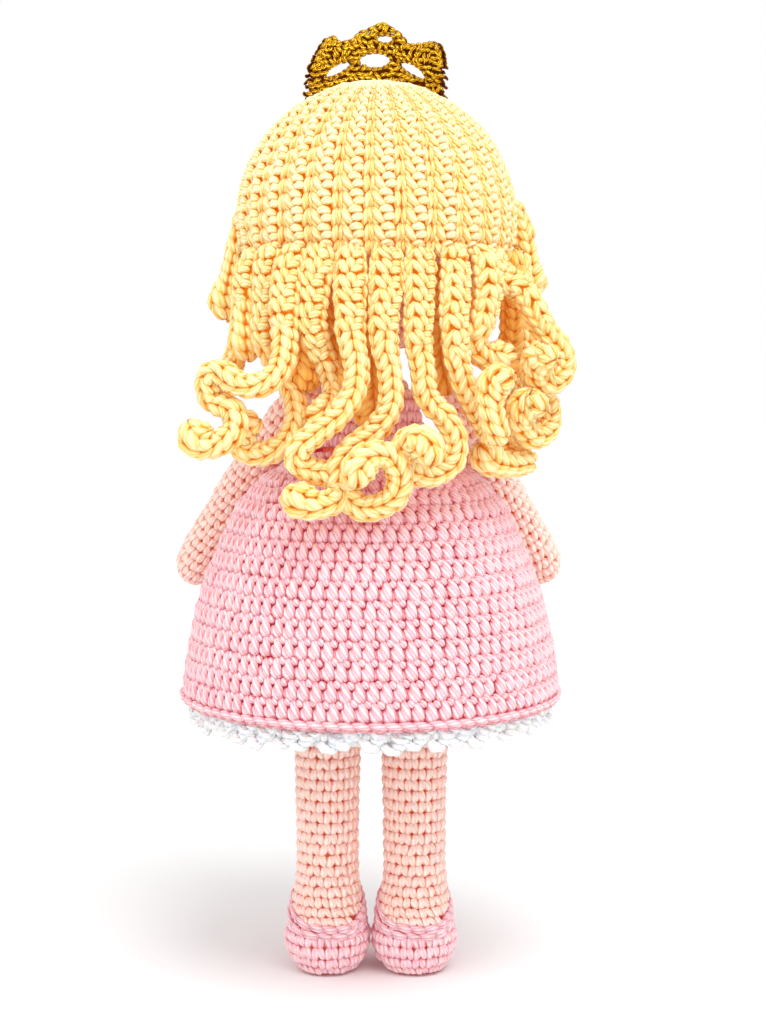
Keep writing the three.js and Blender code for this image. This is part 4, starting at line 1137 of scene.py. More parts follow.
# %% Bodice
bodice_rows = 12
bodice_rings = rings_round(
    ["bodice"], *upright("bodice", foot=0, top=0.0003), np.linspace(0, 1, bodice_rows), torso_sides,
    level=False)
bodice_skin = Skin(bodice_rings, cover_sink)
bodice_cloth = cloth_shell("bodice_cloth", bodice_skin, thin_cloth, dress_back)
bodice_work = Work().lay(bodice_skin, single_crochet, rounds(bodice_skin, *gauge["bodice"]))
bodice_stitches = bodice_work.piece("bodice_stitches", dress_yarn, "doll", "dress_yarn")
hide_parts("bodice")

# %% [markdown]
# ## Skirt
# The skirt is a bell in rounds of half double crochet. Each round has as many stitches as its girth
# holds, so the skirt flares as the real one does, by adding stitches. It hangs a little lower
# behind. Its stitches are two pieces, a lower and an upper one, so that no mesh grows too heavy.

# %% Skirt
skirt_sides = 96
skirt_sink = 0.0018
skirt_tip = 0.02
skirt_crowding = 0.85
skirt_rows = 60


def tipped(rings):
    """Rings that hang a little lower behind, as the skirt does."""
    rings[..., 2] -= rings[..., 1] * skirt_tip
    return rings


skirt_shares = np.linspace(0, 1, skirt_rows) ** skirt_crowding
skirt_ends = upright("skirt", foot=0.0002, top=0.0004)
skirt_rings = rings_round(["skirt"], *skirt_ends, skirt_shares, skirt_sides)
skirt_skin = Skin(tipped(skirt_rings), skirt_sink)
skirt_cloth = cloth_shell("skirt_cloth", skirt_skin, thick_cloth, dress_back)
skirt_cells = rounds(skirt_skin, *gauge["skirt"], start=0.0010)
for level, part in zip(("lower", "upper"), np.array_split(skirt_cells, 2)):
    skirt_work = Work().lay(skirt_skin, half_double_crochet, part, loose=0.06)
    skirt_work.piece(f"skirt_stitches_{level}", dress_yarn, "doll", "dress_yarn")
print("skirt:", len(skirt_cells), "stitches")

# %% [markdown]
# ## Hem
# One rope of slip stitches closes the skirt's edge. It lies on a narrow ring of its own, just
# outside the skirt, because on the skirt's own skin it would sink between the last stitches.

# %% Hem
hem_stitches = 82
hem_height = 0.0024
hem_rise = 0.0032
hem_inset = 0.0014
hem_below = 0.001
hem_above = 0.003
hem_low, hem_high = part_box("skirt_hem")
hem_radius = hem_high.x - hem_inset
hem_levels = (hem_low.z - hem_below, hem_high.z + hem_above)
hem_rings = [ring_at((0, 0), hem_radius, around(skirt_sides), z) for z in hem_levels]
hem_skin = Skin(tipped(np.stack(hem_rings)))
hem_cells = one_round(hem_rise, np.arange(hem_stitches) / hem_stitches, hem_height)
hem_work = Work().lay(hem_skin, hem_stitch, hem_cells, loose=0.04)
hem_piece = hem_work.piece("skirt_hem_stitches", dress_yarn, "doll", "dress_yarn")
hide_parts("skirt", "skirt_hem")

# %% [markdown]
# ## Petticoat
# Under the hem shows a white frill. Its loops are worked loosely into the last round, so they lie
# at uneven heights and widths. Two rounds of large, shaken loops do that, one half a loop on from
# the other. Only the lowest part of the petticoat gets stitches, because nothing else is seen.

# %% Petticoat
petticoat_rows = 26
petticoat_ends = upright("petticoat", foot=0.0015, top=0.0004)
petticoat_rings = rings_round(
    ["petticoat"], *petticoat_ends, np.linspace(0, 1, petticoat_rows), skirt_sides)
petticoat_skin = Skin(tipped(petticoat_rings), cover_sink)
petticoat_cloth = cloth_shell("petticoat_cloth", petticoat_skin, thin_cloth, white_back)
petticoat_cells = rounds(petticoat_skin, *gauge["petticoat"], start=0.0015, stop=0.0150)
petticoat_work = Work().lay(petticoat_skin, single_crochet, petticoat_cells)
print("petticoat:", len(petticoat_cells), "stitches above the frill")

# %% Frill
frills = 52
frill_low = -0.0002
frill_height = 0.0040
frill_step = 0.0032
frill_width = 1.08
frill_turn_shake = 0.12
frill_low_shake = 0.0008
frill_height_shake = 0.0006
frill_turns = (np.arange(frills) + dice.normal(0, frill_turn_shake, frills)) / frills
frill_lows = frill_low + dice.normal(0, frill_low_shake, frills)
frill_heights = frill_height + dice.normal(0, frill_height_shake, frills)
for frill in range(2):
    cells = one_round(
        frill_lows + frill * frill_step, frill_turns + frill * 0.5 / frills, frill_heights, frill_width)
    petticoat_work.lay(petticoat_skin, frill_stitch, cells, loose=0.06)
petticoat_stitches = petticoat_work.piece("petticoat_stitches", white_yarn, "doll", "white_yarn")
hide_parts("petticoat")

# %% [markdown]
# ## Arms
# An arm is a slim tube of single crochet, from the thread at the shoulder to a round hand. It rides on its
# own body. The rings crowd at both ends, where the tube closes.

# %% Arms
arm_sides = 48
shoulder_reach = 0.0055
arm_shares = np.concatenate([[0.0], np.linspace(0.02, 0.93, 34), [0.955, 0.975, 0.988, 0.996, 1.0]])
shoulders = {row["child"]: Vector(row["pos_m"]) for row in frame["record"]["behaviour"]["joints"]}


def arm_skin(arm):
    """The skin of an arm, from a little above its joint to the point that is farthest from it."""
    shoulder = shoulders[arm]
    places = (v.co.copy() for v in frame["nodes"][arm].data.vertices)
    hand = max(places, key=lambda p: (p - shoulder).length)
    start = shoulder + (shoulder - hand).normalized() * shoulder_reach
    return Skin(rings_round([arm], start, hand, arm_shares, arm_sides, level=False), cover_sink)


for side in side_signs:
    body = f"arm_{side}"
    sleeve = arm_skin(body)
    arm_form = form(f"arm_form_{side}", sleeve, skin_back, body)
    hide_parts(f"arm_{side}", f"arm_stuffing_{side}")
    arm_work = Work().lay(sleeve, single_crochet, rounds(sleeve, *gauge["arm"]))
    arm_work.piece(f"arm_stitches_{side}", skin_yarn, body, "skin_yarn")

# %% [markdown]
# ## Where the cap covers the head
# The cap ends in a level edge behind and has an oval opening for the face in front. Both the head's
# stitches and the cap's need to know that border, so it is worked out once, for any place.

# %% Where the cap covers the head
head_centre = np.array([-0.002, 0.0, 0.262])
cap_radius = 0.049
cap_drop = 0.0165
face_half_width = 0.035
face_half_height = 0.034
face_drop = 0.012


def in_face(place, margin=0.0):
    """Whether a place lies in the opening of the hair cap, in front."""
    x, y, z = np.asarray(place) - head_centre
    return y < 0 and (x / (face_half_width - margin)) ** 2 + (
        (z + face_drop) / (face_half_height - margin)) ** 2 < 1


def under_cap(place, margin=0.0):
    """Whether the hair cap covers a place, a little more than that with a margin."""
    return place[2] - head_centre[2] > margin - cap_drop and not in_face(place, margin)


print("the cap ends", round((head_centre[2] - cap_drop) * 1000, 1), "mm above the floor")

# %% [markdown]
# ## Head
# The head is a stuffed ball of single crochet. Only what the hair leaves open gets stitches, and a
# little more, so that no gap shows at the cap's edge.

# %% Head
head_sides = 96
cap_overlap = 0.003
head_rows = 48
head_shares = (1 - np.cos(np.linspace(0, math.pi, head_rows))) / 2
head_ends = upright("head", foot=0.0004, top=0.0002, middle=head_centre[0])
head_skin = Skin(rings_round(["head"], *head_ends, head_shares, head_sides), cover_sink)
head_form = form("head_form", head_skin, skin_back, "doll")
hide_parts("head", "head_stuffing")
head_cells = kept(head_skin, rounds(head_skin, *gauge["head"]), lambda p: not under_cap(p, cap_overlap))
head_work = Work().lay(head_skin, single_crochet, head_cells)
head_stitches = head_work.piece("head_stitches", skin_yarn, "doll", "skin_yarn")

# %% [markdown]
# ## Cheeks
# Dolls get a little colour on the cheeks, dabbed on with chalk. It needs no shape of its own: the
# stitches near each cheek carry a number that the skin yarn blends to a warmer red.

# %% Cheeks
cheeks = ((0.0205, -0.0385, 0.2485), (-0.0245, -0.0385, 0.2485))
cheek_size = 0.0085
cheek_fade = 0.7
cheek_depth = 0.75
spots = np.empty(len(head_stitches.data.vertices) * 3, np.float32)
head_stitches.data.vertices.foreach_get("co", spots)
near = [np.linalg.norm(spots.reshape(-1, 3) - np.array(c), axis=1) for c in cheeks]
flush = np.clip(1 - np.minimum(*near) / cheek_size, 0, 1) ** cheek_fade * cheek_depth
layer = head_stitches.data.attributes.new("blush", "FLOAT", "POINT")
layer.data.foreach_set("value", flush.astype(np.float32))
print("blushing points:", int((flush > 0).sum()))

# %% [markdown]
# ## Mouth and nose
# The photograph shows the doll from behind, so this face is as plain as a doll's face can be: one
# curved thread for a mouth and a short thick one for a nose. A thread is a thin tube with round
# ends that lies half in the skin.

# %% Mouth and nose
face_reach = 0.0465
thread_rows = 24
thread_sides = 10
thread_end = 0.03


def on_face(x, drop, lift):
    """A place on the face, from the middle of the head and down from it, out of the skin."""
    reach = face_reach + lift
    return (head_centre[0] + x, -math.sqrt(reach ** 2 - x ** 2 - drop ** 2), head_centre[2] - drop)


def thread(name, points, radius, material, node):
    """A thread sewn onto the face, along a few points."""
    shares = np.linspace(0, 1, thread_rows)
    line, slope = smooth_path(points, shares)
    away = unit(line - head_centre)
    inner = shares * (1 - 2 * thread_end) + thread_end
    thick = radius * np.sqrt(np.clip(np.sin(math.pi * inner), 0, 1) * 2).clip(0, 1)
    made = form(name, Skin(swept(line, np.cross(slope, away), away, thick, thick, thread_sides)),
                material, "doll", sink=0)
    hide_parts(node)


smile_half = 0.0055
smile_drop = 0.0170
smile_bow = 0.0024
smile_radius = 0.0007
nose_half = 0.0024
nose_drop = 0.0110
nose_lift = 0.0010
nose_radius = 0.0013
smile = [
    on_face(x * smile_half, smile_drop + (1 - x * x) * smile_bow, smile_radius)
    for x in (-1, -0.5, 0, 0.5, 1)]
nose = [on_face(x * nose_half, nose_drop, nose_lift) for x in (-1, -0.3, 0.3, 1)]
thread("mouth", smile, smile_radius, face_yarn, "smile_thread")
thread("nose", nose, nose_radius, nose_yarn, "nose_thread")
print("mouth", round(how_far(np.array(smile))[-1] * 1000, 1), "mm long")

# %% [markdown]
# ## Eyes
# The eyes are bought ones: a glossy dark dome on a stem that goes through the fabric into a washer.
# The dome is turned from a profile, written as how far out of the face and how wide.

# %% Eyes
eye_reach = 0.0466
eye_sides = 28
eye_profile = (
    (-0.002, 0.0012), (-0.0003, 0.0012), (0.0, 0.0037), (0.0006, 0.0040), (0.0013, 0.00385),
    (0.0020, 0.0034), (0.0026, 0.0026), (0.0030, 0.0015), (0.0031, 0.0004))


def eye_dome(side):
    """A dome on its stem, looking straight out of the head."""
    low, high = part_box(f"eye_{side}")
    seat = np.array([(low.x + high.x) / 2, 0, (low.z + high.z) / 2]) - head_centre
    seat[1] = -math.sqrt(eye_reach ** 2 - seat[0] ** 2 - seat[2] ** 2)
    look = unit(seat)
    first = unit(np.cross(look, (0, 0, 1)))
    second = np.cross(look, first)
    rises, widths = np.array(eye_profile).T
    line = head_centre + seat + look * rises[:, None]
    ones = np.ones((len(eye_profile), 1))
    return Skin(swept(line, ones * first, ones * second, widths, widths, eye_sides))


for side in side_signs:
    dome = form(f"eye_dome_{side}", eye_dome(side), eye_black, "doll", sink=0)
    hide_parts(f"eye_{side}")
print("eyes", round(eye_profile[3][1] * 2000, 1), "mm wide")

# %% [markdown]
# ## Hair cap: its cloth
# Under the cap's loops lies a sheet that follows the cap's border all round. For every angle the
# border's latitude is searched from below, and rings then run from there up to the top.

# %% The cap's cloth
cap_sink = 0.0027
cap_sides = 96
cap_edge = -math.asin(cap_drop / cap_radius)
edge_margin = -0.0002
edge_steps = 160
cap_rows = 26
cap_close = 0.995
hair_radius = cap_radius - cap_sink


def on_sphere(radius, latitude, angles):
    """A ring on the ball round the head's middle."""
    flat = radius * np.cos(latitude)
    return ring_at(head_centre[:2], flat, angles, head_centre[2] + radius * np.sin(latitude))


def edge_latitude(angle, radius):
    """How low the cap comes at one angle round the head."""
    for latitude in np.linspace(cap_edge, math.pi / 2, edge_steps):
        place = on_sphere(radius, latitude, np.array([angle]))[0]
        if under_cap(place, edge_margin) and not in_face(place):
            return latitude
    return math.pi / 2


edges = np.array([edge_latitude(a, hair_radius) for a in around(cap_sides)])
cap_rings = []
for share in np.linspace(0, cap_close, cap_rows):
    latitudes = edges + (math.pi / 2 - edges) * share
    cap_rings.append(on_sphere(hair_radius, latitudes, around(cap_sides)))
cap_skin = Skin(np.stack(cap_rings))
cap_cloth = cloth_shell("hair_cap_cloth", cap_skin, thin_cloth, hair_back)
print("the cap is", round(cap_skin.hoop.max() * 1000), "mm round")

# %% [markdown]
# ## Hair cap: its ribs
# The cap is worked in ribs that run down from the crown of the head, twenty-eight of them. Near
# the top, where ribs would crowd, the cap is in plain rounds, as a crocheter would change over.

# %% The cap's ribs
rib_count = 28
rib_turn = 0.2611
rib_top = math.radians(66)
ball_sides = 112
ball_rows = 64
ball_close = 0.004
ball_latitudes = np.linspace(cap_edge, math.pi / 2 - ball_close, ball_rows)
ball_angles = around(ball_sides)
ball = Skin(np.stack([on_sphere(hair_radius, latitude, ball_angles) for latitude in ball_latitudes]))
rib_end = np.interp(rib_top, ball_latitudes, ball.along)
rib_cells = rounds(ball, *gauge["rib"], stop=rib_end, shift=0.0, count=rib_count)
rib_cells[:, 1] += rib_turn
rib_cells = kept(ball, rib_cells, under_cap)
cap_work = Work().lay(ball, rib_stitch, rib_cells, loose=0.035)
cap_work.lay(ball, single_crochet, rounds(ball, *gauge["cap top"], start=rib_end))
cap_stitches = cap_work.piece("hair_cap_stitches", cap_yarn, "doll", "hair_yarn")
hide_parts("hair_cap")
print("cap:", len(rib_cells), "rib stitches")

# %% [markdown]
# ## Curled locks: where they run
# Each lock is a narrow strip that hangs from a rib and curls at its end, as crocheted strips do
# when they are worked tighter on one side. A lock follows a few points, given in shares of the
# cap's radius from the middle of the head. Five locks lie underneath and fill the gaps between the
# others. Two short fringes frame the face.

# %% Routes of the locks
locks_underneath = ("left_inner", "middle_inner", "right_middle_inner", "centre_inner", "right_inner")
lock_routes = {
    "left_temple": [
        [0.83, -0.16, 0.28], [0.91, -0.12, 0.08], [0.98, -0.08, -0.14], [1.04, -0.04, -0.4],
        [1.08, 0, -0.58], [1.07, 0.02, -0.7],
    ],
    "left_ear": [
        [0.88, 0.2, -0.32], [0.94, 0.27, -0.8], [1.01, 0.41, -1.06], [1.11, 0.61, -1.25],
    ],
    "left_cheek": [
        [0.86, 0.53, -0.33], [0.9, 0.57, -0.6], [0.9, 0.57, -0.8], [0.88, 0.55, -0.99],
    ],
    "left_bowl": [
        [0.74, 0.71, -0.34], [0.75, 0.71, -0.74], [0.73, 0.69, -0.94], [0.63, 0.65, -1.12],
        [0.55, 0.67, -1.28], [0.55, 0.71, -1.45], [0.64, 0.76, -1.59], [0.78, 0.78, -1.64],
        [0.9, 0.8, -1.59], [0.9, 0.82, -1.47], [0.8, 0.84, -1.42],
    ],
    "left_wave": [
        [0.58, 0.88, -0.35], [0.61, 0.94, -0.61], [0.61, 0.96, -0.91], [0.63, 0.98, -1.05],
        [0.74, 1.02, -1.16], [0.89, 1.04, -1.17], [1.03, 1.04, -1.09], [1.12, 1, -1.13],
        [1.09, 0.96, -1.27], [0.95, 1, -1.35], [0.94, 1.02, -1.48], [1.07, 1.02, -1.57],
        [1.18, 1.02, -1.54], [1.24, 1, -1.43],
    ],
    "left_back": [
        [0.39, 0.94, -0.35], [0.43, 0.94, -0.71], [0.39, 0.88, -0.91], [0.31, 0.8, -1.09],
        [0.28, 0.78, -1.25], [0.35, 0.84, -1.36], [0.46, 0.88, -1.39],
    ],
    "centre_sway": [
        [0.17, 0.98, -0.36], [0.17, 1.04, -0.81], [0.13, 1.06, -1.04], [0.15, 1.08, -1.22],
        [0.26, 1.1, -1.38], [0.4, 1.12, -1.49], [0.51, 1.12, -1.59], [0.51, 1.08, -1.69],
        [0.39, 1.03, -1.75], [0.26, 1.05, -1.79], [0.24, 1.1, -1.9], [0.36, 1.14, -1.96],
        [0.49, 1.14, -1.94], [0.59, 1.1, -1.88],
    ],
    "centre_inner": [
        [0.03, 0.73, -0.34], [0.05, 0.76, -0.87], [0.03, 0.76, -1.18], [0.07, 0.78, -1.45],
    ],
    "centre_curl": [
        [-0.07, 0.98, -0.36], [-0.05, 1.04, -0.84], [-0.09, 1.04, -1.08], [-0.09, 1.04, -1.31],
        [0.01, 1.04, -1.48], [0.15, 1.06, -1.58], [0.24, 1.08, -1.73], [0.21, 1.08, -1.89],
        [0.07, 1.1, -1.99], [-0.1, 1.14, -1.93], [-0.16, 1.17, -1.79], [-0.1, 1.21, -1.65],
        [0.02, 1.26, -1.62], [0.11, 1.29, -1.71], [0.12, 1.31, -1.82],
    ],
    "right_curl": [
        [-0.29, 0.94, -0.35], [-0.28, 1, -0.84], [-0.31, 1, -1.08], [-0.34, 0.98, -1.26],
        [-0.46, 0.98, -1.39], [-0.53, 0.98, -1.53], [-0.51, 0.98, -1.67], [-0.4, 1, -1.76],
        [-0.28, 1.04, -1.76], [-0.18, 1.1, -1.68], [-0.18, 1.16, -1.57], [-0.26, 1.24, -1.52],
        [-0.34, 1.29, -1.59], [-0.35, 1.31, -1.68],
    ],
    "right_back": [
        [-0.53, 0.86, -0.35], [-0.52, 0.94, -0.74], [-0.53, 0.96, -0.94], [-0.57, 0.92, -1.13],
        [-0.64, 0.86, -1.28], [-0.71, 0.86, -1.42], [-0.77, 0.92, -1.5], [-0.8, 1.02, -1.5],
        [-0.77, 1.1, -1.4], [-0.75, 1.11, -1.26], [-0.79, 1.12, -1.15], [-0.88, 1.17, -1.12],
    ],
    "right_hook": [
        [-0.74, 0.76, -0.34], [-0.74, 0.8, -0.6], [-0.69, 0.82, -0.78], [-0.67, 0.78, -0.91],
        [-0.78, 0.71, -0.99], [-0.93, 0.67, -0.95],
    ],
    "right_loop": [
        [-0.84, 0.59, -0.43], [-0.98, 0.61, -0.51], [-1.07, 0.61, -0.65], [-1.16, 0.57, -0.81],
        [-1.27, 0.55, -0.94], [-1.28, 0.57, -1.08], [-1.17, 0.63, -1.17], [-1.07, 0.71, -1.1],
        [-1.11, 0.8, -0.99], [-1.19, 0.86, -1.01],
    ],
    "right_inner": [
        [-0.95, 0.29, -0.32], [-0.95, 0.31, -0.73], [-0.91, 0.35, -0.97], [-0.83, 0.43, -1.14],
    ],
    "right_ear": [
        [-1.02, 0, -0.31], [-1.06, 0.1, -0.9], [-1.1, 0.24, -1.15], [-1.19, 0.39, -1.32],
        [-1.18, 0.49, -1.48], [-1.06, 0.61, -1.53], [-0.97, 0.71, -1.41], [-1.03, 0.78, -1.3],
        [-1.12, 0.82, -1.34],
    ],
    "right_low": [
        [-0.98, -0.2, -0.29], [-0.99, -0.12, -1], [-0.95, 0.04, -1.36], [-0.92, 0.2, -1.57],
        [-0.98, 0.35, -1.69], [-1.03, 0.49, -1.71], [-0.89, 0.63, -1.72], [-0.76, 0.71, -1.68],
        [-0.7, 0.78, -1.59],
    ],
    "right_temple": [
        [-0.98, -0.16, 0.12], [-1.04, -0.12, -0.1], [-1.08, -0.08, -0.34], [-1.1, -0.04, -0.55],
    ],
    "left_inner": [
        [0.47, 0.69, -0.34], [0.47, 0.69, -0.73], [0.46, 0.67, -1.02], [0.48, 0.67, -1.2],
    ],
    "middle_inner": [
        [0.25, 0.73, -0.34], [0.26, 0.73, -0.74], [0.25, 0.73, -1.06], [0.21, 0.76, -1.28],
    ],
    "right_middle_inner": [
        [-0.41, 0.67, -0.34], [-0.41, 0.69, -0.73], [-0.42, 0.69, -1.02], [-0.48, 0.69, -1.22],
    ],
    "left_fringe": [
        [0.04, -0.87, 0.54], [0.28, -0.89, 0.46], [0.5, -0.84, 0.34], [0.68, -0.77, 0.08],
        [0.76, -0.69, -0.22], [0.78, -0.68, -0.46], [0.85, -0.62, -0.64],
    ],
    "right_fringe": [
        [-0.04, -0.87, 0.54], [-0.28, -0.89, 0.46], [-0.5, -0.84, 0.34], [-0.68, -0.77, 0.08],
        [-0.76, -0.69, -0.22], [-0.78, -0.68, -0.46], [-0.85, -0.62, -0.64],
    ],
}
print(len(lock_routes), "locks")

# %% [markdown]
# ## Curled locks: their shape
# A lock is an oval tube with its wide side turned outward. It starts as a dome under the cap's
# edge, is widest a little below it, narrows where the strip turns into a cord, and ends in a round
# knob. Tables of widths and depths say so, against the distance or the share of the way down.

# %% Shape of a lock
lock_half_width = 0.0053
lock_half_depth = 0.0035
lock_widths = ((0, 0.009, 0.024, 0.040, 0.090, 0.200), (1.0, 1.06, 0.94, 0.76, 0.80, 0.86))
lock_depths = ((0, 0.31, 1), (0.72, 1, 1))
lock_sink = 0.0015
depth_sink = lock_sink * 0.8
lock_step = 0.0012
lock_sides = 20
knob_width = 0.2
knob_depth = 0.5
root_reach = 0.985
root_level = -0.265
root_dome = 0.0045
root_under = -0.25
root_aside = 0.85
root_width = 0.5
least_tip = 0.02
least_dome = 0.12
points_a_span = 30


def rooted(route):
    """The same route, with a first point under the cap's edge if it starts below that edge."""
    route = np.array(route)
    if route[0, 2] >= root_under:
        return route
    spread = np.linalg.norm(route[0, :2])
    flat = route[0, :2] / spread * (root_reach if spread > root_aside else spread)
    return np.vstack([[*flat, root_level], route])


def quarter_round(share, least):
    """How far a round end has opened, from 0 to 1 of its length."""
    return np.sqrt(np.clip(1 - (1 - np.clip(share, 0, 1)) ** 2, least, 1))


print("a lock is", lock_half_width * 2000, "mm wide and", lock_half_depth * 2000, "mm thick")

# %% Skin of a lock
def lock_skin(route, twist):
    """The surface of a lock: an oval tube along its route, with its wide side turned outward."""
    points = head_centre + cap_radius * rooted(route)
    dense = np.linspace(0, 1, len(points) * points_a_span)
    line, _ = smooth_path(points, dense)
    far = how_far(line)
    count = int(far[-1] / lock_step)
    line, slope = smooth_path(points, np.interp(np.linspace(0, far[-1], count), far, dense))
    away = line - head_centre
    away[:, 2] = 0
    away = unit(away - slope * (away * slope).sum(axis=1, keepdims=True))
    across = np.cross(slope, away)
    share = np.linspace(0, 1, count)
    lean = (twist * share * 2 * math.pi)[:, None]
    across, away = (across * np.cos(lean) + away * np.sin(lean),
                    away * np.cos(lean) - across * np.sin(lean))
    left = (1 - share) * far[-1] / lock_half_width
    tip = quarter_round(left, least_tip)
    dome = quarter_round(share * far[-1] / root_dome, least_dome)
    knob = np.exp(-(left - 1) ** 2)
    widths = np.interp(share * far[-1], *lock_widths) + knob_width * knob
    depths = np.interp(share, *lock_depths) + knob_depth * knob
    wide = (lock_half_width * widths - lock_sink) * tip * (root_width + (1 - root_width) * dome)
    deep = (lock_half_depth * depths - depth_sink) * tip * dome
    return Skin(swept(line, across, away, wide, deep, lock_sides))


first_lock = next(iter(lock_routes))
first_length = lock_skin(lock_routes[first_lock], 0).along[-1]
print("the lock", first_lock, "is", round(first_length * 1000), "mm long")

# %% [markdown]
# ## Curled locks: their stitches
# The upper part of a lock shows the rows of the strip. Below, the strip has rolled into a cord with
# a chain of leaves down its front. A chain runs down every back, and single slanted strands close
# the two sides. How long the strip stays open differs from lock to lock.

# %% Stitches of the locks
lock_row = 0.0040
fewest_rows = 4
strip_row = 0.0047
strip_width = 0.42
strip_share = 0.45
strip_most = 0.033
strip_least = 0.72
strip_chance = 0.4
chain_start = strip_row * 0.3
chain_stop = 0.7
chain_shift = 0.6
core_sink = 0.0004
front = 0.25
phase_spread = 0.3
phase_share = 0.1
twist_spread = 0.05
lock_lines = (
    (front, 0.36, chain_stitch, 0.0), (0.75, 0.36, chain_stitch, 0.5),
    (0.0, 0.16, side_stitch, 0.25), (0.5, 0.16, side_stitch, 0.75))


def lock_stitches(strip):
    """The loops of one lock: strip rows above, then a chain in front, one behind and two sides."""
    work = Work()
    long = strip.along[-1]
    rows = max(fewest_rows, round(long / lock_row))
    tall = long / rows
    phase = (dice.random() * phase_spread - phase_spread / 2) * phase_share
    strip_end = min(strip_share * long, strip_most) * (strip_least + strip_chance * dice.random())
    strip_lows = np.arange(0, strip_end, strip_row)
    work.lay(strip, strip_stitch, [(low, front, strip_row, strip_width) for low in strip_lows], loose=0.08)
    for turn, wide, pattern, shift in lock_lines:
        lows = (np.arange(rows) + (shift - 0.5) * chain_shift) * tall
        first = strip_lows[-1] + chain_start if turn == front else -tall
        lows = lows[(lows > first) & (lows < long - tall * chain_stop)]
        work.lay(strip, pattern, [(low, turn + phase, tall, wide) for low in lows])
    return work


for name, route in lock_routes.items():
    strip = lock_skin(route, dice.normal(0, twist_spread))
    core = form(f"lock_core_{name}", strip, hair_back, "doll", sink=core_sink)
    # The locks underneath take the hair yarn painted darker, as in shade.
    yarn = under_yarn if name in locks_underneath else hair_yarn
    lock_stitches(strip).piece(f"lock_stitches_{name}", yarn, "doll", "hair_yarn")
    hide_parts(f"hair_{name}")

# %% [markdown]
# ## Crown: its sheet
# The crown is an open strip bent to an arc, worked in a thin metallic yarn. Everything on it is
# placed by three numbers: how far along the arc, how far above the hair, and how far out. Its
# outline and its openings are given in the first two, so they bend with the strip.

# %% The crown's sheet
crown_radius = 0.030
crown_back = 0.018
crown_seat = 0.0003
crown_peak = 0.0222
crown_half = 0.027
crown_outline = (
    (-1, 0.46), (-0.94, 0.71), (-0.83, 0.77), (-0.61, 0.71), (-0.43, 0.68), (-0.32, 0.82),
    (-0.25, 0.9), (-0.09, 1), (0.05, 0.93), (0.19, 0.88), (0.35, 0.74), (0.54, 0.74),
    (0.64, 0.82), (0.75, 0.77), (0.88, 0.58), (1, 0.41))
crown_openings = (
    (0.0146, 0.0072, 0.0052, 0.0017, -0.31), (0.0008, 0.0096, 0.0055, 0.0026, 0.0),
    (-0.0134, 0.0068, 0.0052, 0.0018, 0.40), (-0.0028, 0.0172, 0.0028, 0.0013, 0.0))


def crown_place(run, rise, lift):
    """A place on the crown: along its arc, above the hair, and towards the back."""
    angle = run / crown_radius
    reach = crown_radius - lift
    x = np.sin(angle) * reach
    y = crown_back - np.cos(angle) * reach
    seat = np.sqrt((cap_radius + crown_seat) ** 2 - (np.sin(angle) * crown_radius) ** 2
                   - (crown_back - np.cos(angle) * crown_radius) ** 2)
    return np.stack([head_centre[0] + x, y, head_centre[2] + seat + rise], axis=-1)


def crown_top(run):
    """How high the crown is at a place along its arc."""
    return np.interp(run / crown_half, *np.array(crown_outline).T) * crown_peak


def past_opening(run, rise, margin):
    """How far out of an opening each place lies, and which way: below one is inside."""
    ratios = []
    for centre, level, half_wide, half_tall, tilt in crown_openings:
        across = run - centre
        up = rise - level - tilt * across
        ratios.append(np.hypot(across / (half_wide + margin), up / (half_tall + margin)))
    near = np.argmin(ratios, axis=0)
    middles = np.array(crown_openings)[near]
    way = np.arctan2(rise - middles[:, 1], run - middles[:, 0])
    return np.min(ratios, axis=0), way


print(len(crown_openings), "openings,", round(crown_peak * 1000, 1), "mm high")

# %% [markdown]
# ## Crown: its loops
# The metallic yarn glitters because its loops lie in all directions. Loops fill the sheet, turned
# round the nearest opening, and small leaves run along the rim and round each opening, as the slip
# stitches do that give an open-work edge its hold. Both faces of the crown are worked alike.

# %% Loops of the crown
gold_leaf = stitch(
    2.0, 3.0,
    strand([(-0.75, 3.3, 0.1), (-0.45, 1.7, 0.45), (-0.1, -0.2, 0.2)], 0.62),
    strand([(0.75, 3.3, 0.1), (0.45, 1.7, 0.5), (0.1, -0.2, 0.25)], 0.62),
)
gold_loop = stitch(
    1.6, 3.0,
    strand([(0.4, -0.2, 0.2), (-0.1, 1.5, 0.75), (0.4, 3.2, 0.2)], 0.68, 1.0, 0.95, 0.4),
)
gold_shake = 0.08
leaf_lift_shake = 0.00008
line_rows = 200
leaf_overrun = 0.1


def gold_along(work, points, width, step, lift):
    """Lays leaves one after the other along a line on the crown, on its back or its front."""
    line, slope = smooth_path(points, np.linspace(0, 1, line_rows))
    far = how_far(line)
    count = max(1, round(far[-1] / step))
    corners = gold_leaf["corners"]
    face = 1 if lift >= 0 else -1
    places = []
    for number in range(count):
        start = (number + dice.normal(0, gold_shake)) * far[-1] / count
        spot = (start + corners[:, 1] * far[-1] / count) / far[-1]
        spot = np.clip(spot, -leaf_overrun, 1 + leaf_overrun)
        run = np.interp(spot * far[-1], far, line[:, 0])
        rise = np.interp(spot * far[-1], far, line[:, 1])
        way = unit(np.stack([np.interp(spot * far[-1], far, slope[:, k]) for k in (0, 1)], axis=1))
        side = corners[:, 0] * width * (1 + dice.normal(0, gold_shake))
        over = np.maximum(spot - 1, 0) + np.minimum(spot, 0)
        run = run - way[:, 1] * side + way[:, 0] * over * far[-1]
        rise = rise + way[:, 0] * side + way[:, 1] * over * far[-1]
        out = lift + face * corners[:, 2] + dice.normal(0, leaf_lift_shake)
        places.append(crown_place(run, rise, out))
    work.put(gold_leaf, np.array(places))


print("a gold leaf has", len(gold_leaf["faces"]), "faces")

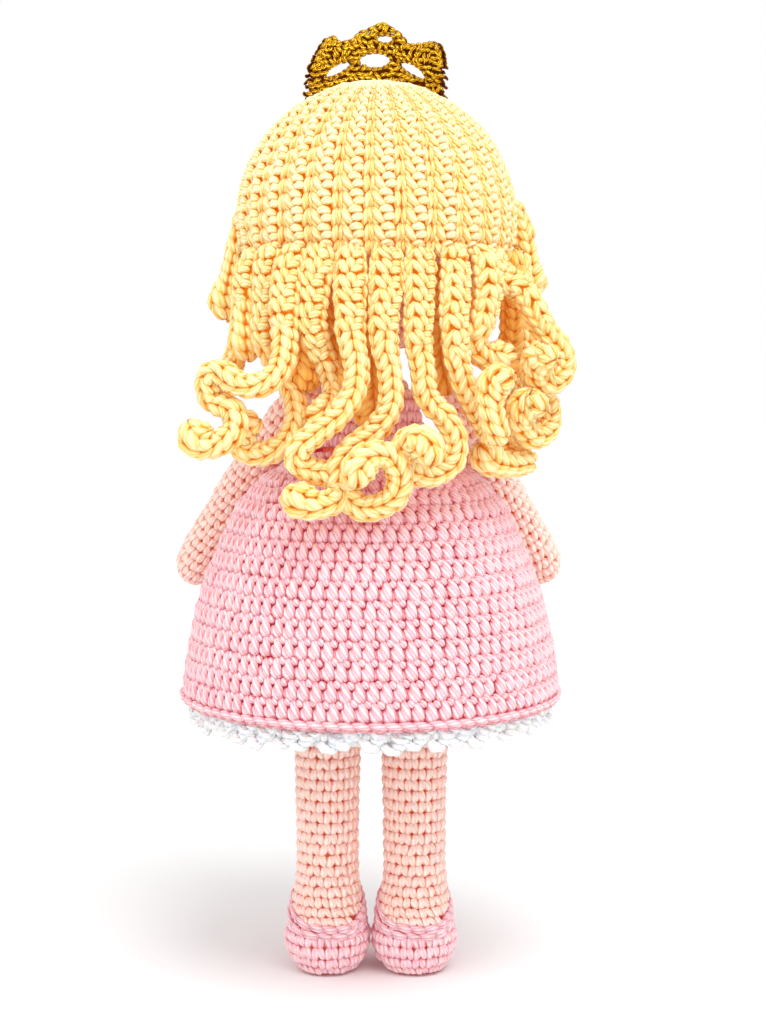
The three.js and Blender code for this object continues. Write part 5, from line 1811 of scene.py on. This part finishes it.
# %% The crown's filling
band_rise = 0.0055
band_turn = 0.5
fill_turn = 0.35
fill_rises = np.arange(-0.0008, 0.0245, 0.0019)
fill_runs = np.arange(-0.0262, 0.0264, 0.0021)
fill_stagger = 0.00105
fill_shake = 0.0003
fill_margin = 0.0011
fill_below = 0.0006
fill_lift_shake = 0.0002
loop_length = 0.0031
loop_width = 0.0018


def gold_mass(work, lift):
    """Fills the crown with loops that stand away from its openings."""
    rises, runs = np.meshgrid(fill_rises, fill_runs, indexing="ij")
    runs = runs + (np.arange(len(rises)) % 2 * fill_stagger)[:, None]
    run = runs.ravel() + dice.normal(0, fill_shake, runs.size)
    rise = rises.ravel() + dice.normal(0, fill_shake, rises.size)
    ratio, way = past_opening(run, rise, fill_margin)
    use = (ratio > 1) & (rise < crown_top(run) - fill_below)
    flat = rise < band_rise
    way = np.where(flat, dice.normal(0, band_turn, way.size), way + dice.normal(0, fill_turn, way.size))
    run, rise, way = run[use], rise[use], way[use, None]
    corners = gold_loop["corners"]
    along = (corners[None, :, 1] - 0.5) * loop_length
    across = corners[None, :, 0] * loop_width
    place_run = run[:, None] + np.cos(way) * along - np.sin(way) * across
    place_rise = rise[:, None] + np.sin(way) * along + np.cos(way) * across
    face = 1 if lift >= 0 else -1
    out = lift + face * corners[None, :, 2] + dice.normal(0, fill_lift_shake, (len(run), 1))
    work.put(gold_loop, crown_place(place_run, place_rise, out))


print(len(fill_rises) * len(fill_runs), "places for loops on each face")

# %% [markdown]
# ## Crown: its dark middle
# Between the two faces lies the shade of a doubled fabric. A thin dark sheet stands for it, cut
# from small squares, so that the openings stay free and light shines through them.

# %% The crown's dark middle
square = 0.0005
middle_thickness = 0.0005
middle_foot = 0.0002
middle_reach = crown_half * 0.96
middle_margin = 0.0006
middle_below = 0.0016


def crown_sheet():
    """The dark middle of the crown, between its two faces of loops, with the openings left free."""
    runs = np.arange(-middle_reach, middle_reach, square)
    rises = np.arange(middle_foot, crown_peak, square)
    rise, run = np.meshgrid(rises, runs, indexing="ij")
    ratio, _ = past_opening((run + square / 2).ravel(), (rise + square / 2).ravel(), middle_margin)
    filled = (ratio.reshape(run.shape) > 1) & (rise < crown_top(run + square / 2) - middle_below)
    filled[-1] = False
    filled[:, -1] = False
    points = np.concatenate([
        crown_place(run.ravel(), rise.ravel(), np.full(run.size, lift))
        for lift in (middle_thickness / 2, -middle_thickness / 2)])
    faces = []
    for i, j in zip(*np.nonzero(filled)):
        first = i * len(runs) + j
        corners = [first, first + 1, first + len(runs) + 1, first + len(runs)]
        faces.append(tuple(corners[::-1]))
        faces.append(tuple(c + run.size for c in corners))
        for row, column, a, b in ((i - 1, j, 0, 1), (i, j + 1, 1, 2), (i + 1, j, 2, 3), (i, j - 1, 3, 0)):
            if row < 0 or column < 0 or not filled[row, column]:
                a, b = corners[a], corners[b]
                faces.append((a, b, b + run.size, a + run.size))
    return [tuple(p) for p in points], faces


middle_points, middle_faces = crown_sheet()
print("the crown's dark middle has", len(middle_faces), "faces")

# %% Crown
crown_faces = (0.0004, -0.0006)
rim_inset = 0.0002
rim_share = 0.985
edge_gap = 0.0006
edge_points = 13
rim_leaf = {"width": 0.0024, "step": 0.0027}
edge_leaf = {"width": 0.0015, "step": 0.0022}
rim_line = [(x * crown_half * rim_share, y * crown_peak - rim_inset, 0) for x, y in crown_outline]
crown_work = Work()
for lift in crown_faces:
    gold_mass(crown_work, lift)
    gold_along(crown_work, rim_line, lift=lift, **rim_leaf)
    for centre, level, half_wide, half_tall, tilt in crown_openings:
        edge = [(centre + math.cos(a) * (half_wide + edge_gap),
                 level + math.sin(a) * (half_tall + edge_gap) + tilt * math.cos(a) * half_wide, 0)
                for a in np.linspace(0, 2 * math.pi, edge_points)]
        gold_along(crown_work, edge, lift=lift, **edge_leaf)
crown_piece = crown_work.piece("crown_stitches", gold_yarn, "doll", "gold_yarn")
mesh_piece("crown_middle", middle_points, middle_faces, gold_shade, "doll")
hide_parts("crown")

# %% [markdown]
# ## What lies inside
# The rod, the wires, the washers, the insoles and the threads at the shoulders stay as the frame
# has them, each in its own material.

# %% What lies inside
inside = {
    "washer": washer_white, "rod": rod_wood, "wire": wire_metal, "insole": card_brown, "thread": skin_yarn,
}
for name, node in frame["nodes"].items():
    for word, material in inside.items():
        if word in name:
            node.data.materials.clear()
            node.data.materials.append(material)
print(len(inside), "kinds of inner pieces")
